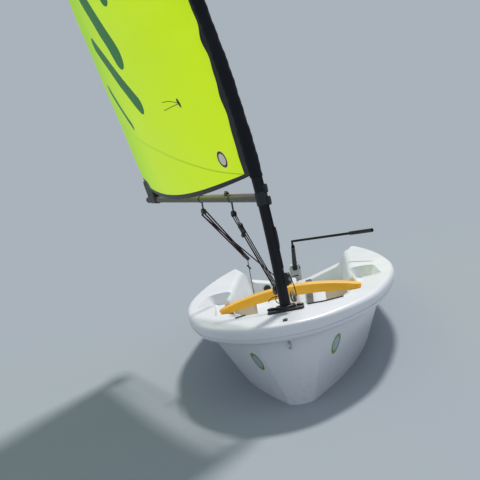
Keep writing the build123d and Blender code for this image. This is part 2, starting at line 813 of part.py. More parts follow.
def rudder_head():
    """Two cheeks on a front web and a top block, with the tiller's socket and the blade's pivot pin."""
    front, aft = -head_front, -head_front - head_length
    outline = Polyline((front, head_low), (front, head_top), (aft + head_nose, head_top),
                       (aft, head_top - head_nose), (aft, blade_pivot_z - head_tail),
                       (front - head_web - head_tail, head_low), close=True)
    body = extrude(Plane.XZ * make_face(outline), head_width / 2, both=True)
    body = fillet(body.edges().filter_by(Axis.Z), head_round)
    gap_high = head_top - head_block
    gap = Pos(front - head_web, 0, head_low - head_web) * Box(
        head_length, blade_thick + 2 * blade_side_gap, gap_high - head_low + head_web,
        align=(Align.MAX, Align.CENTER, Align.MIN))
    shank = extrude(Plane.XZ * Circle(pivot_radius), head_width / 2, both=True)
    nut = extrude(Plane.XZ.offset(head_width / 2) * Circle(pivot_head), pivot_head_depth)
    pin = Pos(blade_pivot()) * (shank + nut + nut.mirror(Plane.XZ))
    return rudder_place() * (body - gap - tiller_bar(socket_gap) + pin)


def blade():
    """The lifting blade: a round head on the pivot pin, a neck between the cheeks, and a foil below."""
    head = extrude(Plane.XZ * Circle(blade_head), blade_thick / 2, both=True)
    neck = Box(2 * blade_head, blade_thick, blade_neck, align=(Align.CENTER, Align.CENTER, Align.MAX))
    low = head_low - blade_pivot_z
    # the fin's sections: height, nose and chord, the second level with the head's foot
    table = [(-blade_neck, blade_head, 2 * blade_head), (low, blade_head, blade_shoulder_chord),
             (low - blade_flare, blade_head + blade_lead, blade_root_chord),
             (-blade_reach, blade_head - blade_lead, blade_tip_chord)]
    sections = [Pos(nose, 0, height) * foil(chord, blade_thick) for height, nose, chord in table]
    fin = loft(sections, ruled=True)
    pin = extrude(Plane.XZ * Circle(pivot_radius + pivot_gap), blade_thick, both=True)
    return rudder_place() * Pos(blade_pivot()) * (head + neck + fin - pin)


def tiller_bar(gap=0.0):
    """A tapered bar from the rudder head, rising forward over the stern."""
    start = Vector(-head_front - tiller_seat, 0, tiller_aft_z)
    end = Vector(tiller_length, 0, tiller_fore_z)
    plane = Plane(start, z_dir=end - start, x_dir=(0, 1, 0))
    root = RectangleRounded(tiller_root[0] + gap, tiller_root[1] + gap, tiller_round)
    tip = RectangleRounded(tiller_tip[0] + gap, tiller_tip[1] + gap, tiller_round)
    return loft([plane * root, plane.offset((end - start).length) * tip])


def tiller():
    return rudder_place() * tiller_bar()


def joint_base():
    """Where the joint stands on the tiller's top, near its end."""
    rise = (tiller_fore_z - tiller_aft_z) / (tiller_length + head_front + tiller_seat)
    return Vector(tiller_length - joint_inset, 0, tiller_fore_z - joint_inset * rise)


def tiller_joint():
    """The rubber joint between the tiller and its extension."""
    post = extrude(Circle(joint_radius), joint_length)
    foot = extrude(Circle(joint_flange), tiller_tip[1] / 2 + joint_radius / 2)
    return rudder_place() * (Pos(joint_base()) * (post + foot) - tiller_bar())


def extension_plane():
    """The plane across the extension at its joint, facing along it."""
    a, r = math.radians(extension_angle), math.radians(extension_rise)
    along = Vector(math.cos(r) * math.cos(a), math.cos(r) * math.sin(a), math.sin(r))
    start = joint_base() + Vector(0, 0, joint_length + extension_radius)
    return Plane(start, z_dir=along)


def tiller_extension():
    return rudder_place() * extension_plane().location * extrude(Circle(extension_radius), extension_length)


def extension_grip():
    grip = extrude(Circle(extension_radius + grip_wall) - Circle(extension_radius), grip_length)
    return rudder_place() * extension_plane().location * Pos(0, 0, extension_length - grip_length) * grip


def toe_straps():
    """Two flat webbing straps, each between a forward and an aft anchor."""
    strap = Pos(strap_mid_x, strap_y, well_floor + strap_height) * Box(strap_length, strap_width, strap_thick)
    return Compound(children=[strap, strap.mirror(Plane.XZ)])


def strap_anchors():
    parts = []
    for side in (1, -1):
        for end in (1, -1):
            place = Pos(strap_mid_x + end * (strap_length - anchor_length) / 2, side * strap_y, well_floor)
            parts.append(place * Box(anchor_length, anchor_width, strap_height - strap_thick / 2,
                                     align=(Align.CENTER, Align.CENTER, Align.MIN)))
    return Compound(children=parts)


def sheet_base():
    """The base on the well's floor that carries the sheet's lower block."""
    plan = RectangleRounded(sheet_base_length, sheet_base_width, sheet_post_radius)
    base = extrude(Pos(sheet_base_x, 0, well_floor) * plan, sheet_base_height)
    base = fillet(base.faces().sort_by(Axis.Z)[-1].edges(), sheet_base_height / 5)
    post = Pos(sheet_base_x, 0, well_floor + sheet_base_height) * extrude(
        Circle(sheet_post_radius), sheet_post_height)
    return base + post


def bow_eye():
    """The towing eye on the stem: a flat plate with a round hole."""
    low, high = -keel_depth - keel_stern_inset, sheer_bow
    stem_x = keel_bow_x + (bow_x - rim_overhang - keel_bow_x) * (bow_eye_z - low) / (high - low)
    outer = bow_eye_bore + bow_eye_wall
    centre = Pos(stem_x + outer, 0, bow_eye_z)
    plate = extrude(Plane.XZ * Circle(outer), bow_eye_thick / 2, both=True)
    foot = Box(outer, bow_eye_thick * 2, outer * 2, align=(Align.MAX, Align.CENTER, Align.CENTER))
    bore = extrude(Plane.XZ * Circle(bow_eye_bore), bow_eye_thick, both=True)
    fitting = centre * (plate + Pos(-bow_eye_bore, 0, 0) * foot - bore)
    return fitting - hull_shell()


def deck_eye():
    """A small fairlead on the deck behind the stem."""
    plan = RectangleRounded(deck_eye_length, deck_eye_width, deck_eye_width / 3)
    base = extrude(Pos(deck_eye_x, 0, deck_top(deck_eye_x) - deck_eye_height) * plan, 2 * deck_eye_height)
    base = fillet(base.faces().sort_by(Axis.Z)[-1].edges(), deck_eye_height / 3)
    return base - sheer_body(rim_depth)


def aft_hatch():
    """The round hatch in the well's aft wall."""
    z = well_floor + hatch_rise
    wall_x = well_aft_x + (sheer_mid - z) * math.tan(math.radians(well_slope))
    disc = extrude(Plane.YZ * Circle(hatch_radius), hatch_depth)
    disc = fillet(disc.faces().sort_by(Axis.X)[-1].edges(), hatch_depth / 3)
    return Pos(wall_x + hatch_seat, hatch_y, z) * Rot(0, -well_slope, 0) * disc


# Each node's name, and the function that makes it
nodes = {
    "hull": hull, "thwart": thwart, "thwart_pillars": thwart_pillars, "mast_collar": mast_collar,
    "step_plate": step_plate, "gudgeons": gudgeons, "toe_straps": toe_straps, "strap_anchors": strap_anchors,
    "sheet_base": sheet_base, "bow_eye": bow_eye, "deck_eye": deck_eye, "aft_hatch": aft_hatch,
    "mast_lower": mast_lower, "mast_upper": mast_upper, "mast_head": mast_head,
    "luff_sleeve": luff_sleeve, "sail": sail, "boom": boom, "boom_end": boom_end,
    "gooseneck": gooseneck_fitting, "boom_block": boom_block, "kicker_upper": kicker_upper,
    "kicker_lower": kicker_lower, "daggerboard": daggerboard, "board_head": board_head,
    "rudder_head": rudder_head, "pintles": pintles, "blade": blade, "tiller": tiller,
    "tiller_joint": tiller_joint, "tiller_extension": tiller_extension, "extension_grip": extension_grip,
}

for name, make in nodes.items():
    export_step(make(), "parts/" + name + ".step")
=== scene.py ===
from functools import partial
from math import cos, inf, pi, radians, sin

import bpy
import numpy as np
from mathutils import Matrix, Vector
from mathutils.bvhtree import BVHTree


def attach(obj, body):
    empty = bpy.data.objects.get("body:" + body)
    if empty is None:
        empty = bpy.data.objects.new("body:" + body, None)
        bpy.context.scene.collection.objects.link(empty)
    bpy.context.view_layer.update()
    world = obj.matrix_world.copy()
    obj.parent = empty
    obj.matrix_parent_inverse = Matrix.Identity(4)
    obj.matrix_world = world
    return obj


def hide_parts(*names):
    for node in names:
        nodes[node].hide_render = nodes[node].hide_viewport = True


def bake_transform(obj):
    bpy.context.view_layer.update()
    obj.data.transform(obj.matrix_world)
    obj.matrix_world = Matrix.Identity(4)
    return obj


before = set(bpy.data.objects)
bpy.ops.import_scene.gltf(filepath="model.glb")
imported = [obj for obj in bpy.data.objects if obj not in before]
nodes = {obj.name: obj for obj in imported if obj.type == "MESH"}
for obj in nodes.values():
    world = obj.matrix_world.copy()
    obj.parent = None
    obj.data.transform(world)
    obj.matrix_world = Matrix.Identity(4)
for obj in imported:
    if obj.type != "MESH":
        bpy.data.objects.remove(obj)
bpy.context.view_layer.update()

# Metres, in the boat's own frame: +X to the bow, +Y to port, +Z up, z = 0 at the waterline.

tip = 1e-5  # radius to which a closed end is drawn
skew = (0.31, 0.87, 0.38)  # a direction along which nothing on the boat runs
skewAhead = (1.0, 0.1, 0.2)  # the one used instead near the Y axis
upward = (0.0, 0.0, 1.0)


# each row divided by its own length
def unit(v):
    v = np.asarray(v, float)
    return v / np.maximum(np.linalg.norm(v, axis=-1, keepdims=True), 1e-12)


# a mesh from its points, its faces' corners, each face's first corner, and texture coordinates
def buildMesh(name, points, index, starts, uv=None):
    mesh = bpy.data.meshes.new(name)
    mesh.vertices.add(points.size // 3)
    mesh.vertices.foreach_set("co", points.reshape(-1).astype(np.float32))
    mesh.loops.add(len(index))
    mesh.loops.foreach_set("vertex_index", index)
    mesh.polygons.add(len(starts))
    mesh.polygons.foreach_set("loop_start", starts)
    mesh.polygons.foreach_set("use_smooth", np.ones(len(starts), bool))
    if uv is not None:
        mesh.uv_layers.new(name="cloth").data.foreach_set("uv", uv)
    mesh.update(calc_edges=True)
    mesh.validate()
    return mesh


# A grid of points, rows by columns, as one mesh of quads; closeV joins the last column to the first.
# uv is a matching grid of texture coordinates, with one column more where the columns close.
def gridMesh(name, points, closeV=False, uv=None, flip=False):
    rows, cols = points.shape[:2]
    i, j = np.meshgrid(np.arange(rows - 1), np.arange(cols if closeV else cols - 1), indexing="ij")
    j2 = (j + 1) % cols
    here, after = i * cols, (i + 1) * cols
    quads = np.stack([here + j, after + j, after + j2, here + j2], -1).reshape(-1, 4)
    order = -1 if flip else 1
    if uv is not None:
        uv = np.stack([uv[i, j], uv[i + 1, j], uv[i + 1, j + 1], uv[i, j + 1]][::order], -2)
        uv = uv.reshape(-1).astype(np.float32)
    index = quads[:, ::order].reshape(-1).astype(np.int32)
    return buildMesh(name, points, index, np.arange(0, quads.size, 4, dtype=np.int32), uv)


# one property of a mesh's parts, such as its vertices' places, as a flat array
def readAll(parts, key, size, kind):
    values = np.empty(len(parts) * size, kind)
    parts.foreach_get(key, values)
    return values


# several meshes as one, keeping their texture coordinates
def joinMeshes(name, meshes):
    arrays, vertices, corners = [], 0, 0
    for mesh in meshes:
        uv = np.zeros(len(mesh.loops) * 2, np.float32)
        if mesh.uv_layers:
            uv = readAll(mesh.uv_layers[0].data, "uv", 2, np.float32)
        arrays.append((readAll(mesh.vertices, "co", 3, np.float32),
                       readAll(mesh.loops, "vertex_index", 1, np.int32) + vertices,
                       readAll(mesh.polygons, "loop_start", 1, np.int32) + corners, uv))
        vertices += len(mesh.vertices)
        corners += len(mesh.loops)
        bpy.data.meshes.remove(mesh)
    return buildMesh(name, *(np.concatenate(column) for column in zip(*arrays)))


# a mesh, lamp or camera as an object of the scene
def addObject(name, data):
    item = bpy.data.objects.new(name, data)
    bpy.context.scene.collection.objects.link(item)
    return item


# puts meshes in the scene as one piece: the body it rides, its finish, the nodes it hides
def addPiece(name, meshes, body, finish, replaced=()):
    mesh = joinMeshes(name, meshes) if isinstance(meshes, list) else meshes
    piece = addObject(name, mesh)
    mesh.materials.append(materials[finish])
    if body:
        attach(piece, body)
    if replaced:
        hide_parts(*replaced)
    return piece


# a Catmull-Rom curve through the points: each span is a cubic with slopes from its neighbours
def smoothPath(points, perSpan=12):
    p = np.asarray(points, float)
    m = np.gradient(p, axis=0)
    t = np.linspace(0, 1, perSpan, endpoint=False)[None, :, None]
    a, b, ma, mb = p[:-1, None], p[1:, None], m[:-1, None], m[1:, None]
    curve = (2*t**3 - 3*t**2 + 1) * a + (t**3 - 2*t**2 + t) * ma
    curve = curve + (3*t**2 - 2*t**3) * b + (t**3 - t**2) * mb
    return np.concatenate([curve.reshape(-1, 3), p[-1:]])


# a tube with domed ends: a circle of the radius carried square to the path; dome is the end's height
# as a share of the radius
def tubeMesh(path, radius, sides=10, side=skew, dome=0.6):
    path = np.asarray(path, float)
    r = np.broadcast_to(np.asarray(radius, float), (len(path),))
    tangent = unit(np.gradient(path, axis=0))
    a = unit(np.asarray(side) - tangent * (tangent @ np.asarray(side))[:, None])
    b = np.cross(tangent, a)
    start, end = path[0] - tangent[0] * r[0] * dome, path[-1] + tangent[-1] * r[-1] * dome
    path = np.concatenate([[start], path, [end]])
    r = np.concatenate([[tip], r, [tip]])
    a, b = np.concatenate([a[:1], a, a[-1:]]), np.concatenate([b[:1], b, b[-1:]])
    turn = np.linspace(0, 2 * pi, sides, endpoint=False)
    ring = a[:, None] * np.cos(turn)[None, :, None] + b[:, None] * np.sin(turn)[None, :, None]
    length = np.concatenate([[0], np.cumsum(np.linalg.norm(np.diff(path, axis=0), axis=1))])
    uv = np.stack(np.broadcast_arrays((np.arange(sides + 1) / sides)[None, :], length[:, None]), -1)
    return gridMesh("tube", path[:, None] + ring * r[:, None, None], closeV=True, uv=uv, flip=True)


# a turned shape: rows of height along the axis and radius, swept once round the axis
def turnedMesh(profile, centre, axis, sides=32):
    profile = np.asarray(profile, float)
    k = unit(axis)
    ref = np.array(skew if abs(k[1]) < 0.8 else skewAhead)
    a = unit(ref - k * (k @ ref))
    b = np.cross(k, a)
    turn = np.linspace(0, 2 * pi, sides, endpoint=False)
    ring = a * np.cos(turn)[:, None] + b * np.sin(turn)[:, None]
    points = np.asarray(centre, float) + profile[:, :1, None] * k + profile[:, 1:, None] * ring[None]
    return gridMesh("turned", points, closeV=True, flip=True)


# A rounded block: a sphere's latitude and longitude, each cosine and sine raised to a small power and
# stretched along three directions. square is that power: 1 gives an egg, near 0 a box.
def pebbleMesh(centre, axes, sizes, square, rows=20, cols=32):
    lat = np.linspace(-pi / 2, pi / 2, rows)[:, None]
    lon = np.linspace(0, 2 * pi, cols, endpoint=False)[None, :]
    power = lambda v: np.sign(v) * np.abs(v) ** square
    x, y = power(np.cos(lat)) * power(np.cos(lon)), power(np.cos(lat)) * power(np.sin(lon))
    local = np.stack(np.broadcast_arrays(x, y, power(np.sin(lat))), -1) * np.asarray(sizes) / 2
    axes = unit(axes)
    flip = np.linalg.det(axes) > 0
    return gridMesh("pebble", np.asarray(centre, float) + local @ axes, closeV=True, flip=bool(flip))


# rounded blocks from rows of place and sizes, both along the three directions, and square
def pebbleMeshes(origin, axes, rows):
    return [pebbleMesh(np.asarray(origin) + np.asarray(place) @ np.asarray(axes), axes, sizes, square)
            for place, sizes, square in rows]


# a ring: a small circle carried round a large one
def ringMesh(centre, axis, radius, wire, turns=40):
    k = unit(axis)
    a = unit(np.cross(k, (0.37, 0.21, 0.9)))
    big = np.linspace(0, 2 * pi, turns + 1)[:, None]
    path = np.asarray(centre, float) + radius * (a * np.cos(big) + np.cross(k, a) * np.sin(big))
    return tubeMesh(path, wire, 10, tuple(k))


# The rig's frame, from the same sizes as the part

rig = {
    "foot": (1.4, 0.0, 0.43833),
    "rake": 1.6,
    "bendFrom": 0.25,
    "bendTo": 1.85,
    "bendRadius": 8.2,
    "gooseneck": 0.62,
    "boomAngle": 27.0,
    "boomRise": 4.8,
}


# from the rig's frame, its Z up the raked mast, to the boat's: a turn about Y, then a shift
def rigToBoat(points):
    p = np.asarray(points, float)
    x, y, z = p[..., 0], p[..., 1], p[..., 2]
    c, s = cos(radians(rig["rake"])), sin(radians(rig["rake"]))
    return np.stack([x * c - z * s, y, x * s + z * c], -1) + rig["foot"]


# the mast's centre at a length above the deck, rig frame: straight, one arc to leeward, straight
def mastPoint(h):
    h = np.asarray(h, float)
    angle = (np.clip(h, rig["bendFrom"], rig["bendTo"]) - rig["bendFrom"]) / rig["bendRadius"]
    past = np.maximum(h - rig["bendTo"], 0)
    y = -rig["bendRadius"] * (1 - np.cos(angle)) - past * np.sin(angle)
    z = np.minimum(h, rig["bendFrom"]) + rig["bendRadius"] * np.sin(angle) + past * np.cos(angle)
    return np.stack([np.zeros_like(z), y, z], -1)


# a point beside the mast: height, direction from the bow toward port in degrees, distance
def onMast(h, turn, out):
    a = radians(turn)
    return rigToBoat(mastPoint(h) + np.array([cos(a), sin(a), 0]) * out)


# the boom's own directions, one a row: out along it, up from it, and to its port side
def boomAxes():
    a, r = radians(rig["boomAngle"]), radians(rig["boomRise"])
    out = np.array([-cos(a) * cos(r), -sin(a) * cos(r), sin(r)])
    top = np.array([cos(a) * sin(r), sin(a) * sin(r), cos(r)])
    return rigToBoat(np.array([out, top, np.cross(top, out)])) - rigToBoat(np.zeros(3))


# a point by its distance along the boom, above its centre line and to its port side
def boomPoint(along, up=0.0, across=0.0):
    return rigToBoat(np.array([0, 0, rig["gooseneck"]])) + np.array([along, up, across]) @ boomAxes()


# Camera, at the photograph's viewing angle

view = {
    "place": (5.397, 0.206, 1.146),
    "right": (-0.0773, 0.9758, -0.2043),
    "down": (0.0878, -0.1975, -0.9764),
    "ahead": (-0.9931, -0.0934, -0.0704),
    "lens": 55.5,
    "sensor": 36.0,
    "clip": (0.05, 100.0),
}


# a camera whose three axes are given as rows, made exactly square by a singular value split
def makeCamera():
    data = bpy.data.cameras.new("viewCamera")
    data.sensor_width = view["sensor"]
    data.lens = view["lens"]
    data.clip_start, data.clip_end = view["clip"]
    camera = addObject("viewCamera", data)
    axes = np.array([view["right"], np.negative(view["down"]), np.negative(view["ahead"])])
    left, _, right = np.linalg.svd(axes)
    turn = np.eye(4)
    turn[:3, :3] = (left @ right).T
    turn[:3, 3] = view["place"]
    camera.matrix_world = Matrix(turn.tolist())
    bpy.context.scene.camera = camera


makeCamera()
print("camera placed")

# Materials


# a plain shader with constants set on its own sockets
def newMaterial(name, colour, rough, metal=0.0, **sockets):
    material = bpy.data.materials.new(name)
    material.use_nodes = True
    shader = material.node_tree.nodes["Principled BSDF"]
    sockets |= {"Base Color": (*colour, 1), "Roughness": rough, "Metallic": metal}
    for key, value in sockets.items():
        shader.inputs[key.replace("_", " ")].default_value = value
    return material, material.node_tree, shader


# One node: values set on its sockets by name, links given as (socket, from-socket). The helpers below work
# in the tree of the socket that they are given.
def addNode(tree, kind, links=(), **values):
    node = tree.nodes.new(kind)
    for key, value in values.items():
        node.inputs[key.replace("_", " ")].default_value = value
    for socket, source in links:
        tree.links.new(source, node.inputs[socket])
    return node


# object coordinates, scaled
def objectPoint(tree, scale=(1.0, 1.0, 1.0)):
    place = addNode(tree, "ShaderNodeTexCoord").outputs["Object"]
    return addNode(tree, "ShaderNodeMapping", [("Vector", place)], Scale=scale).outputs["Vector"]


# a vector's three numbers
def split(vector):
    return addNode(vector.id_data, "ShaderNodeSeparateXYZ", [("Vector", vector)]).outputs


# the piece's own texture coordinates, in metres
def uvParts(tree):
    return split(addNode(tree, "ShaderNodeUVMap").outputs["UV"])[:2]


# cloudy noise, mostly between 0.3 and 0.7
def noise(vector, scale, detail=3.0, rough=0.5):
    return addNode(vector.id_data, "ShaderNodeTexNoise", [("Vector", vector)], Scale=scale, Detail=detail,
                   Roughness=rough).outputs["Fac"]


# a colour ramp through (place, colour) stops
def ramp(fac, stops):
    node = addNode(fac.id_data, "ShaderNodeValToRGB", [("Fac", fac)])
    elements = node.color_ramp.elements
    for k, (place, colour) in enumerate(stops):
        element = elements[k] if k < 2 else elements.new(place)
        element.position = place
        element.color = (*colour, 1)
    return node.outputs["Color"]


# a straight change of range, clamped
def remap(value, low, high, toLow, toHigh):
    return addNode(value.id_data, "ShaderNodeMapRange", [("Value", value)], From_Min=low, From_Max=high,
                   To_Min=toLow, To_Max=toHigh).outputs["Result"]


# one arithmetic node; a and b are numbers or sockets, at least one of them a socket
def maths(operation, a, b=None, clamp=False):
    tree = (b if isinstance(a, (int, float)) else a).id_data
    node = tree.nodes.new("ShaderNodeMath")
    node.operation = operation
    node.use_clamp = clamp
    for k, value in enumerate((a, b)):
        if isinstance(value, (int, float)):
            node.inputs[k].default_value = value
        elif value is not None:
            tree.links.new(value, node.inputs[k])
    return node.outputs[0]


# the commonest operations by plain words
operations = ("ADD", "SUBTRACT", "MULTIPLY", "LESS_THAN", "SINE")
plus, minus, times, below, sine = (partial(maths, operation) for operation in operations)


# colour a where fac is 0, colour b where it is 1
def mixColour(fac, a, b):
    tree = fac.id_data
    node = tree.nodes.new("ShaderNodeMix")
    node.data_type = "RGBA"
    for socket, value in ((0, fac), (6, a), (7, b)):
        if isinstance(value, tuple):
            node.inputs[socket].default_value = (*value, 1)
        else:
            tree.links.new(value, node.inputs[socket])
    return node.outputs[2]


# height into the shader's normal
def bump(shader, height, distance, strength=1.0):
    node = addNode(height.id_data, "ShaderNodeBump", [("Height", height)], Strength=strength,
                   Distance=distance)
    feed(shader, "Normal", node.outputs["Normal"])


# a socket's value into one of the shader's inputs
def feed(shader, key, value):
    value.id_data.links.new(value, shader.inputs[key])


# square root of a squared plus b squared
def hypotenuse(a, b):
    return maths("SQRT", plus(times(a, a), times(b, b)))


# distance from an oval's centre as a share of the way to its edge; oval is centre x, y, half-sizes, lean
def ovalReach(x, y, oval):
    c, n = cos(radians(oval[4])), sin(radians(oval[4]))
    dx, dy = minus(x, oval[0]), minus(y, oval[1])
    across = minus(times(dx, c), times(dy, n))
    up = plus(times(dx, n), times(dy, c))
    return hypotenuse(maths("DIVIDE", across, oval[2]), maths("DIVIDE", up, oval[3]))


# 1 inside a straight band with round ends, where the nearest point of its middle line is nearer than half
# its width
def barMask(x, y, bar):
    x1, y1, x2, y2, half = bar
    dx, dy = x2 - x1, y2 - y1
    px, py = minus(x, x1), minus(y, y1)
    dot = plus(times(px, dx), times(py, dy))
    t = maths("DIVIDE", dot, dx * dx + dy * dy, clamp=True)
    ex = minus(px, times(t, dx))
    ey = minus(py, times(t, dy))
    return below(hypotenuse(ex, ey), half)


# moulded plastic: a slow change of tone, scuffs in the roughness, and a fine grain in the bump
def plasticMaterial(name, colour, rough, grain, tint, coat=0.0, scale=120.0):
    material, tree, shader = newMaterial(name, colour, rough, Coat_Weight=coat, Coat_Roughness=0.12)
    point = objectPoint(tree)
    darker = tuple(c * (1 - 3 * tint) for c in colour)
    tone = ramp(noise(point, 2.3, 4.0), [(0.35, darker), (0.62, colour)])
    feed(shader, "Base Color", tone)
    scuff = remap(noise(point, 14.0, 8.0, 0.7), 0.35, 0.75, rough * 0.75, min(rough * 1.5, 1.0))
    feed(shader, "Roughness", scuff)
    bump(shader, noise(point, scale, 2.0), grain)
    return material


# drawn metal: fine lines along the part, from noise stretched along it, in tone and roughness
def metalMaterial(name, colour, rough, brush, metal=1.0, gloss=0.5):
    material, tree, shader = newMaterial(name, colour, rough, metal, Specular_IOR_Level=gloss)
    lines = noise(objectPoint(tree, brush), 18.0, 6.0, 0.6)
    feed(shader, "Roughness", remap(lines, 0.3, 0.7, rough * 0.7, rough * 1.4))
    feed(shader, "Base Color", ramp(lines, [(0.3, tuple(c * 0.8 for c in colour)), (0.7, colour)]))
    bump(shader, lines, 0.0001)
    return material


# A plaited rope: two slanting sine waves over the texture coordinates make the plait; the fleck's colour
# shows where one of them is above the share.
def ropeMaterial(name, colour, fleck, diameter, share):
    material, tree, shader = newMaterial(name, colour, 0.80, Specular_IOR_Level=0.2)
    u, v = uvParts(tree)
    across = times(u, 6 * pi)
    run = times(v, 2 * pi / (diameter * 2.2))
    left = sine(plus(across, run))
    right = sine(minus(across, run))
    plait = plus(maths("ABSOLUTE", left), maths("ABSOLUTE", right))
    show = maths("GREATER_THAN", left, share)
    feed(shader, "Base Color", mixColour(show, colour, fleck))
    bump(shader, plait, diameter * 0.08)
    return material


# woven webbing: small ribs from sines of the object's X and Y, with worn lighter patches
def webbingMaterial():
    material, tree, shader = newMaterial("webbingBlack", (0.02, 0.02, 0.022), 0.85, Sheen_Weight=0.3)
    worn = noise(objectPoint(tree), 20.0, 5.0)
    tone = ramp(worn, [(0.35, (0.014, 0.014, 0.016)), (0.7, (0.045, 0.045, 0.05))])
    feed(shader, "Base Color", tone)
    x, y, _ = split(objectPoint(tree, (2200.0, 2200.0, 2200.0)))
    bump(shader, times(sine(x), sine(y)), 0.0004)
    return material


hullLook = {
    "white": (0.80, 0.82, 0.85),
    "clouds": ((0.79, 0.80, 0.84), (0.83, 0.84, 0.88)),
    "worn": (0.45, 0.50, 0.50),
    "wearHeight": (0.22, 0.02),  # where it begins and where it is full
    "gloss": (0.30, 0.38),
    "floor": (0.070, 0.082),
    "pimples": 1100.0,  # radians of sine wave a metre
    "grain": 0.00012,
    "badges": ((1.556, 0.241, 1), (1.609, 0.236, -1)),  # x, z and side of the boat
    "badgeHalf": (0.036, 0.050),
    "badgeRing": 0.70,
    "badgeColour": (0.20, 0.30, 0.02),
    "badgeMiddle": (0.42, 0.52, 0.58),
    "badgeFrom": 0.05,  # least distance from the middle line
}


# White moulded hull: faint cloudiness, fine grain, non-slip pimples on the well's floor, scuffs by the
# waterline, and a plain oval ring on each bow.
def hullMaterial():
    look = hullLook
    material, tree, shader = newMaterial("hullWhite", look["white"], 0.34, Coat_Weight=0.15,
                                         Coat_Roughness=0.15)
    point = objectPoint(tree)
    colour = ramp(noise(point, 1.7, 4.0), [(0.35, look["clouds"][0]), (0.62, look["clouds"][1])])
    x, y, z = split(point)
    wear = times(remap(z, *look["wearHeight"], 0.0, 1.0),
                 remap(noise(point, 30.0, 8.0, 0.75), 0.52, 0.64, 0.0, 0.35))
    colour = mixColour(wear, colour, look["worn"])
    for cx, cz, side in look["badges"]:
        reach = ovalReach(x, z, (cx, cz, *look["badgeHalf"], 0.0))
        onSide = maths("GREATER_THAN", times(y, float(side)), look["badgeFrom"])
        for edge, tone in ((1.0, look["badgeColour"]), (look["badgeRing"], look["badgeMiddle"])):
            inside = times(below(reach, edge), onSide)
            colour = mixColour(inside, colour, tone)
    feed(shader, "Base Color", colour)
    feed(shader, "Roughness", remap(noise(point, 4.0, 2.0), 0.35, 0.75, *look["gloss"]))
    gx, gy, _ = split(objectPoint(tree, (look["pimples"],) * 3))
    pimples = times(sine(gx), sine(gy))
    low, high = look["floor"]
    floorOnly = times(below(z, high), maths("GREATER_THAN", z, low))
    height = plus(times(pimples, floorOnly), noise(point, 90.0, 2.0))
    bump(shader, height, look["grain"])
    return material


# colour, roughness, grain, change of tone, coat, scale of the grain
plastics = {
    # painted light: the pillars are white, and their tan is painted shade with yellow light bounced from the
    # thwart
    "pillarPaintedBounce": ((0.72, 0.58, 0.40), 0.40, 0.0002, 0.03, 0.1),
    "thwartYellow": ((0.96, 0.50, 0.0), 0.38, 0.0002, 0.03, 0.05),
    "blackPlastic": ((0.014, 0.015, 0.018), 0.42, 0.0003, 0.08),
    "rubberBlack": ((0.012, 0.012, 0.013), 0.75, 0.0004, 0.1, 0.0, 200.0),
    "foilWhite": ((0.72, 0.75, 0.78), 0.28, 0.0001, 0.03, 0.3),
}
# colour, roughness, noise's scale along X, Y and Z, metal, gloss
metals = {
    "steel": ((0.62, 0.63, 0.65), 0.28, (1.0, 1.0, 40.0)),
    "mastBlack": ((0.007, 0.008, 0.012), 0.45, (60.0, 60.0, 1.0), 0.2, 0.35),
    "tillerBlack": ((0.008, 0.009, 0.011), 0.60, (1.0, 40.0, 40.0), 0.0, 0.15),
    "boomGrey": ((0.17, 0.165, 0.15), 0.60, (1.0, 60.0, 60.0), 0.35),
    "stockGrey": ((0.50, 0.52, 0.53), 0.45, (30.0, 30.0, 30.0), 0.85),
}
# colour, fleck, diameter, share
plaits = {
    "ropeGrey": ((0.014, 0.016, 0.022), (0.26, 0.11, 0.06), 0.007, 0.92),
    "ropeDark": ((0.012, 0.014, 0.022), (0.10, 0.02, 0.045), 0.008, 0.8),
    "ropePale": ((0.48, 0.50, 0.53), (0.05, 0.05, 0.06), 0.005, 0.75),
    "ropeRed": ((0.55, 0.50, 0.50), (0.42, 0.03, 0.05), 0.005, 0.1),
}
materials = {"hullWhite": hullMaterial(), "webbingBlack": webbingMaterial()}
materials |= {name: plasticMaterial(name, *row) for name, row in plastics.items()}
materials |= {name: metalMaterial(name, *row) for name, row in metals.items()}
materials |= {name: ropeMaterial(name, *row) for name, row in plaits.items()}

nodeFinish = {
    "hullWhite": ("hull",),
    "thwartYellow": ("thwart",),
    # the pillars' tan finish is painted shade and painted bounce light from the thwart
    "pillarPaintedBounce": ("thwart_pillars",),
    "blackPlastic": ("mast_collar", "step_plate", "strap_anchors", "sheet_base", "deck_eye", "aft_hatch",
                     "mast_head", "boom_end", "gooseneck", "boom_block", "kicker_upper", "kicker_lower",
                     "board_head"),
    "steel": ("gudgeons", "bow_eye", "pintles"),
    "webbingBlack": ("toe_straps",),
    "mastBlack": ("mast_lower", "mast_upper"),
    "boomGrey": ("boom",),
    "foilWhite": ("daggerboard", "blade"),
    "stockGrey": ("rudder_head",),
    "tillerBlack": ("tiller", "tiller_extension"),
    "rubberBlack": ("tiller_joint", "extension_grip"),
}
for finish, names in nodeFinish.items():
    for name in names:
        nodes[name].data.materials.clear()
        nodes[name].data.materials.append(materials[finish])
print("materials made")

# Sail and luff sleeve

